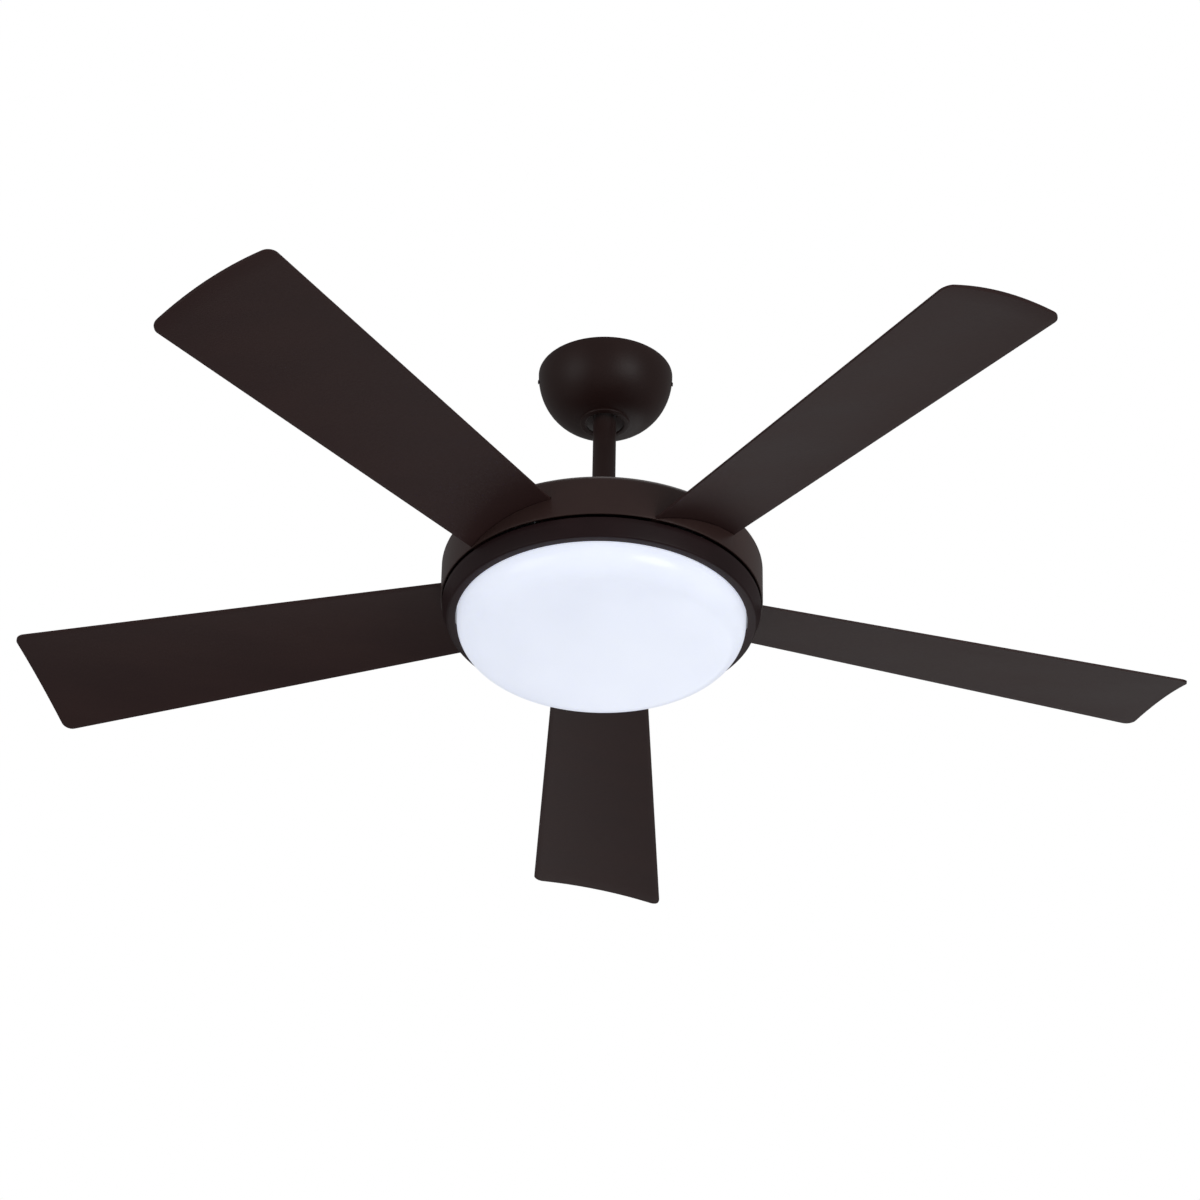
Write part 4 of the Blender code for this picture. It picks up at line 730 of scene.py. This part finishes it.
def blade_sheet(name, start, end, tip, grow=0.0, corners=True, strips=20, stations=24):
    """A tapered sheet with rounded tip corners, cut into strips and pressed to its camber."""
    deselect()
    bpy.ops.mesh.primitive_plane_add(size=1)
    sheet = settle()
    sheet.name = name
    for vertex in sheet.data.vertices:
        radius = end if vertex.co.x > 0 else start
        vertex.co = (radius, math.copysign(chord(radius, tip)[0] + grow, vertex.co.y), 0)
    if corners:
        edit(sheet)
        bpy.ops.mesh.select_all(action="DESELECT")
        mesh = bmesh.from_edit_mesh(sheet.data)
        for vertex in mesh.verts:
            vertex.select = vertex.co.x > end - 0.001
        bmesh.update_edit_mesh(sheet.data)
        bpy.ops.mesh.bevel(offset=BLADE_CORNER_R, segments=10, affect="VERTICES")
    else:
        edit(sheet)
    width_start = chord(start, tip)[0] + grow
    width_end = chord(end, tip)[0] + grow
    for k in range(1, strips):
        share = 2 * k / strips - 1
        lean = share * (width_end - width_start)
        bpy.ops.mesh.select_all(action="SELECT")
        bpy.ops.mesh.bisect(plane_co=(start, share * width_start, 0), plane_no=(-lean, end - start, 0))
    for k in range(1, stations):
        bpy.ops.mesh.select_all(action="SELECT")
        bpy.ops.mesh.bisect(plane_co=(start + (end - start) * k / stations, 0, 0), plane_no=(1, 0, 0))
    bpy.ops.object.mode_set(mode="OBJECT")
    thin = sheet.vertex_groups.new(name="thickness")
    edge_share = BLADE_EDGE_THICK / BLADE_THICK
    for vertex in sheet.data.vertices:
        half, along = chord(vertex.co.x, tip)
        share = min(abs(vertex.co.y) / half, 1.0)
        rise = BLADE_ROOT_CAMBER + (BLADE_TIP_CAMBER - BLADE_ROOT_CAMBER) * along
        vertex.co.z = rise * (1 - share ** 2)
        near_tip = max(0.0, 1 - (end - vertex.co.x) / BLADE_CORNER_R) if corners else 0.0
        vertex.co.x += BLADE_TIP_BULGE * near_tip * (1 - share ** 2)
        thin.add([vertex.index], edge_share + (1 - edge_share) * (1 - share ** 2), "REPLACE")
    outward(sheet)
    apply(sheet, "SOLIDIFY", thickness=BLADE_THICK + 2 * grow, offset=0, vertex_group="thickness",
          thickness_vertex_group=0.0)
    turn = Matrix.Rotation(BLADE_PITCH, 4, "X")
    sheet.data.transform(Matrix.Translation((0, 0, blade_level())) @ turn)
    sheet.vertex_groups.clear()
    return sheet


def blade_level():
    """Height of the middle of the blades' chord line."""
    return box("drum_shell")[0].z + BLADE_RISE


def blade_angles():
    return [BLADE_START + math.tau * k / BLADE_COUNT for k in range(BLADE_COUNT)]


def make_blades(f):
    tip = box("blade_1")[1].y - BLADE_TIP_BULGE
    blade = blade_sheet("blade_first", BLADE_ROOT_R, tip, tip)
    square = Vector((0, -math.sin(BLADE_PITCH), math.cos(BLADE_PITCH)))
    for sign in (-1, 1):
        across = sign * STUD_PITCH / 2
        place = Vector((STUD_PLACE, across * math.cos(BLADE_PITCH),
                        blade_level() + across * math.sin(BLADE_PITCH)))
        cut(blade, bar("hole", STUD_HOLE_R, place - square * 0.01, place + square * 0.02, SCREW_SEGMENTS))
    rounded(blade, BLADE_ROUND, 3, 45)
    smooth(blade, 50)
    for k, angle in enumerate(blade_angles()):
        piece = blade if k == BLADE_COUNT - 1 else blade.copy()
        if piece is not blade:
            piece.data = blade.data.copy()
            bpy.context.collection.objects.link(piece)
        piece.name = "blade_moulding_" + str(k + 1)
        piece.data.transform(Matrix.Rotation(angle, 4, "Z"))
        finish_piece(piece, "rotor", "blade_lacquer", f["blade"], "blade_" + str(k + 1))


# ---------------------------------------------------------------- drum
def make_drum(f):
    low, high = box("drum_shell")
    radius = high.x
    top = high.z
    centre = (radius - DRUM_EDGE_R, top - DRUM_EDGE_R)
    # A dished top with a raised seat for the screws, a rolled edge, and a hemmed lower rim.
    dish_start, dish_end = DRUM_DISH_R
    profile = [(DRUM_HOLE_R, top), (0.050, top), (DRUM_SEAT_R, top), (dish_start, top - DRUM_DISH_DROP),
               (dish_end, top - DRUM_DISH_DROP), (DRUM_BROW_R, top)]
    profile += arc(centre, DRUM_EDGE_R, 90, 0, 10)
    profile += [(radius, low.z + 0.003), (radius - 0.0002, low.z)]
    drum = lathe("drum_housing", profile, RIM_SEGMENTS)
    outward(drum)
    apply(drum, "SOLIDIFY", thickness=SHEET_WALL, offset=-1)
    outer_wall(drum, radius)
    tip = box("blade_1")[1].y - BLADE_TIP_BULGE
    slot = blade_sheet("slot", radius - 0.016, radius + 0.006, tip, BLADE_SLOT_GAP, False, 8, 2)
    for angle in blade_angles():
        turned = slot.copy()
        turned.data = slot.data.copy()
        bpy.context.collection.objects.link(turned)
        turned.data.transform(Matrix.Rotation(angle, 4, "Z"))
        cut(drum, turned)
    bpy.data.objects.remove(slot, do_unlink=True)
    for k in range(DRUM_SCREW_COUNT):
        node = "drum_screw_" + str(k + 1)
        low, high = box(node)
        middle = (low + high) / 2
        cut(drum, bar("hole", SCREW_HOLE_R, (middle.x, middle.y, top - CUT_PAST),
                      (middle.x, middle.y, top + CUT_PAST), SCREW_SEGMENTS))
        screw = screw_piece(node + "_pan_head", (middle.x, middle.y, high.z), (0, 0, 1), high.z - low.z,
                            PAN_HEAD_R)
        finish_piece(screw, "rotor", "bronze_paint", f["paint"], node)
    rounded(drum, FINE_ROUND, 2, 50)
    smooth(drum)
    # The drum takes the lighter copy of the powder coat, which is painted light.
    finish_piece(drum, "rotor", "bronze_paint", f["drum_paint"], "drum_shell")


# ---------------------------------------------------------------- trim ring and diffuser
def make_trim_ring(f):
    low, high = box("trim_ring")
    lip = box("diffuser")[1].x + RING_LIP_GAP
    corner = (RING_BOTTOM_R - RING_EDGE_R, low.z + RING_EDGE_R)
    profile = [(RING_FLANGE_R, high.z), (high.x - 0.001, high.z)]
    profile += arc((high.x - 0.001, high.z - 0.001), 0.001, 90, 0, 4)
    profile += [(high.x, high.z - RING_STRAIGHT)]
    profile += arc(corner, RING_EDGE_R, 0, -90, 7)
    profile += [(lip + 0.0012, low.z)]
    profile += arc((lip + 0.0010, low.z + 0.0010), 0.0010, -90, -160, 3)
    ring = lathe("trim_ring_moulding", profile, RIM_SEGMENTS)
    outward(ring)
    apply(ring, "SOLIDIFY", thickness=MOULDED_WALL * 0.9, offset=-1)
    outer_wall(ring, high.x)
    rounded(ring, FINE_ROUND, 2, 60)
    smooth(ring)
    # The ring takes the darker copy of the paint, which is painted shade.
    finish_piece(ring, "hanging_frame", "bronze_paint", f["ring"], "trim_ring")


def make_diffuser(f):
    low, high = box("diffuser")
    radius = high.x
    wall_end = box("trim_ring")[0].z - LENS_PROUD
    shoulder = LENS_SHOULDER_R
    slope = math.asin((radius - shoulder) / (LENS_DOME_R - shoulder))
    middle_z = wall_end + (LENS_DOME_R - shoulder) * math.cos(slope)
    profile = [(radius, high.z), (radius, wall_end + 0.004)]
    profile += arc((radius - shoulder, wall_end), shoulder, 0, math.degrees(slope) - 90, 14)
    steps = 28
    profile += [(LENS_DOME_R * math.sin(slope * (1 - k / steps)),
                 middle_z - LENS_DOME_R * math.cos(slope * (1 - k / steps))) for k in range(1, steps)]
    lens = lathe("opal_diffuser", profile, RIM_SEGMENTS, close=True)
    outward(lens)
    apply(lens, "SOLIDIFY", thickness=MOULDED_WALL, offset=-1)
    outer_wall(lens, radius)
    inner = radius - MOULDED_WALL
    for k in range(HOOK_COUNT):
        angle = HOOK_START + math.tau * k / HOOK_COUNT
        join(lens, lug_piece(angle, inner - LUG_REACH, inner + 0.001, high.z - LUG_DROP))
    smooth(lens)
    finish_piece(lens, "diffuser", "opal_acrylic", f["opal"], "diffuser")


def lug_piece(angle, near, far, top):
    """A short curved block that hangs the diffuser on a hook, swept round the axis."""
    deselect()
    bpy.ops.mesh.primitive_plane_add(size=1)
    lug = settle()
    for vertex in lug.data.vertices:
        radius = far if vertex.co.x > 0 else near
        vertex.co = (radius, 0, top if vertex.co.y > 0 else top - LUG_THICK)
    lug.data.transform(Matrix.Rotation(angle - HOOK_ANGLE / 2, 4, "Z"))
    edit(lug, "FACE")
    bpy.ops.mesh.select_all(action="SELECT")
    bpy.ops.mesh.spin(steps=6, angle=HOOK_ANGLE, center=(0, 0, 0), axis=(0, 0, 1))
    bpy.ops.object.mode_set(mode="OBJECT")
    outward(lug)
    return lug


def make_led_chips(f):
    """Small square light chips in two rings on the board's lower face."""
    low, high = box("led_board")
    chips = []
    for radius, count in CHIP_RINGS:
        for k in range(count):
            turn = math.tau * k / count
            chip = slab("chip", (radius - CHIP_HALF, -CHIP_HALF, low.z - 0.0007),
                        (radius + CHIP_HALF, CHIP_HALF, low.z - 0.00005))
            chip.data.transform(Matrix.Rotation(turn, 4, "Z"))
            chips.append(chip)
    deselect()
    for chip in chips:
        chip.select_set(True)
    bpy.context.view_layer.objects.active = chips[0]
    bpy.ops.object.join()
    chips[0].name = "led_chips"
    finish_piece(chips[0], "hanging_frame", "led_board", f["board"])


# ---------------------------------------------------------------- kept frame nodes
def dress_nodes(f):
    """Better finishes for the nodes that keep their frame shape."""
    kept = {"zinc": ["motor_coupling", "coupling_bolt", "coupling_nut", "pan_nut"],
            "bearing": ["motor_shaft", "upper_bearing_inner_race", "lower_bearing_inner_race",
                        "upper_bearing_outer_race", "lower_bearing_outer_race"],
            "core": ["stator_core"], "copper": ["stator_winding"], "ferrite": ["magnet_ring"],
            "cast": ["rotor_cup", "motor_end_cover"], "white": ["light_pan"], "casing": ["led_driver"],
            "board": ["led_board"], "sheath": ["lamp_cable", "motor_lead"],
            "rubber": ["hanger_washer_left", "hanger_washer_right"]}
    kept["zinc"] += ["pan_screw_" + str(k) for k in (1, 2, 3)]
    for stem in ("blade_arm_", "arm_screw_", "blade_clamp_"):
        kept["zinc"] += [stem + str(k + 1) for k in range(BLADE_COUNT)]
    for finish, nodes in kept.items():
        for name in nodes:
            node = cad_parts[name]
            node.data.materials.clear()
            node.data.materials.append(f[finish])


# ---------------------------------------------------------------- room, light and camera
FLOOR_LEVEL = -7.0
FLOOR_SIZE = 60.0
FLOOR_GLOW = 0.62
SURROUND_SEEN = 1.0
SURROUND_LIGHT = 0.20
LIGHT_AIM = Vector((0, 0, -0.28))
SOFT_LIGHTS = (                # name, place and disc size in metres, power in watts
    ("key", (2.8, -3.4, -1.3), 2.4, 42),
    ("fill", (-3.0, -2.2, -0.8), 2.4, 16),
    ("back", (0.9, 3.6, -2.2), 3.0, 14),
    ("top", (0.5, 0.5, 3.0), 3.0, 20))


def make_stage():
    """A pale floor far below the fan, an even white surround and four soft lights."""
    deselect()
    bpy.ops.mesh.primitive_plane_add(size=FLOOR_SIZE, location=(0, 0, FLOOR_LEVEL))
    floor = bpy.context.object
    floor.name = "floor"
    # Seen, but kept from throwing light back up at the fan.
    floor.visible_diffuse = False
    floor.visible_glossy = False
    made, tree, shader, place = start_material("pale_floor", {
        "Roughness": 0.8, "Emission Strength": FLOOR_GLOW, "Emission Color": colour("#f4f4f2")})
    shade = add(tree, "ShaderNodeTexNoise", {"Scale": 1.5}, {"Vector": place}).outputs["Fac"]
    tree.links.new(ramp(tree, shade, colour("#e9e9e7"), colour("#efefed")), shader.inputs["Base Color"])
    floor.data.materials.append(made)
    world = bpy.data.worlds.new("studio")
    world.use_nodes = True
    bpy.context.scene.world = world
    tree = world.node_tree
    tree.nodes.clear()
    seen = add(tree, "ShaderNodeBackground", {"Color": (1, 1, 1, 1), "Strength": SURROUND_SEEN})
    lit = add(tree, "ShaderNodeBackground", {"Color": (1, 1, 1, 1), "Strength": SURROUND_LIGHT})
    path = add(tree, "ShaderNodeLightPath")
    mix = add(tree, "ShaderNodeMixShader", links={0: path.outputs["Is Camera Ray"], 1: lit.outputs[0],
                                                  2: seen.outputs[0]})
    add(tree, "ShaderNodeOutputWorld", links={"Surface": mix.outputs[0]})
    for name, place, size, power in SOFT_LIGHTS:
        soft_light(name, Vector(place), size, power)


def soft_light(name, place, size, power):
    light = bpy.data.lights.new(name, "AREA")
    light.shape = "DISK"
    light.size = size
    light.energy = power
    lamp = bpy.data.objects.new(name, light)
    lamp.location = place
    lamp.rotation_euler = (LIGHT_AIM - place).to_track_quat("-Z", "Y").to_euler()
    bpy.context.collection.objects.link(lamp)


def make_camera():
    """Below the fan, looking up along +Y, with the frame turned a little."""
    rise = math.radians(33.1)
    roll = math.radians(1.0)
    distance = 4.5
    target = Vector((-0.0018, 0.0020, -0.2911))
    forward = Vector((0, math.cos(rise), math.sin(rise)))
    right = Vector((1, 0, 0))
    up = right.cross(forward)
    x_axis = right * math.cos(roll) + up * math.sin(roll)
    y_axis = up * math.cos(roll) - right * math.sin(roll)
    data = bpy.data.cameras.new("camera")
    data.sensor_width = 36
    data.lens = 127.9
    camera = bpy.data.objects.new("camera", data)
    turn = Matrix((x_axis, y_axis, -forward)).transposed()
    camera.matrix_world = Matrix.Translation(target - forward * distance) @ turn.to_4x4()
    bpy.context.collection.objects.link(camera)
    bpy.context.scene.camera = camera


# ---------------------------------------------------------------- the fan
make_camera()
finishes = make_finishes()
make_canopy(finishes)
make_bracket(finishes)
make_hanger(finishes)
make_receiver(finishes)
make_rod(finishes)
make_cover(finishes)
make_drum(finishes)
make_blades(finishes)
make_trim_ring(finishes)
make_diffuser(finishes)
make_led_chips(finishes)
dress_nodes(finishes)
make_stage()
bpy.context.scene.view_settings.view_transform = "Standard"
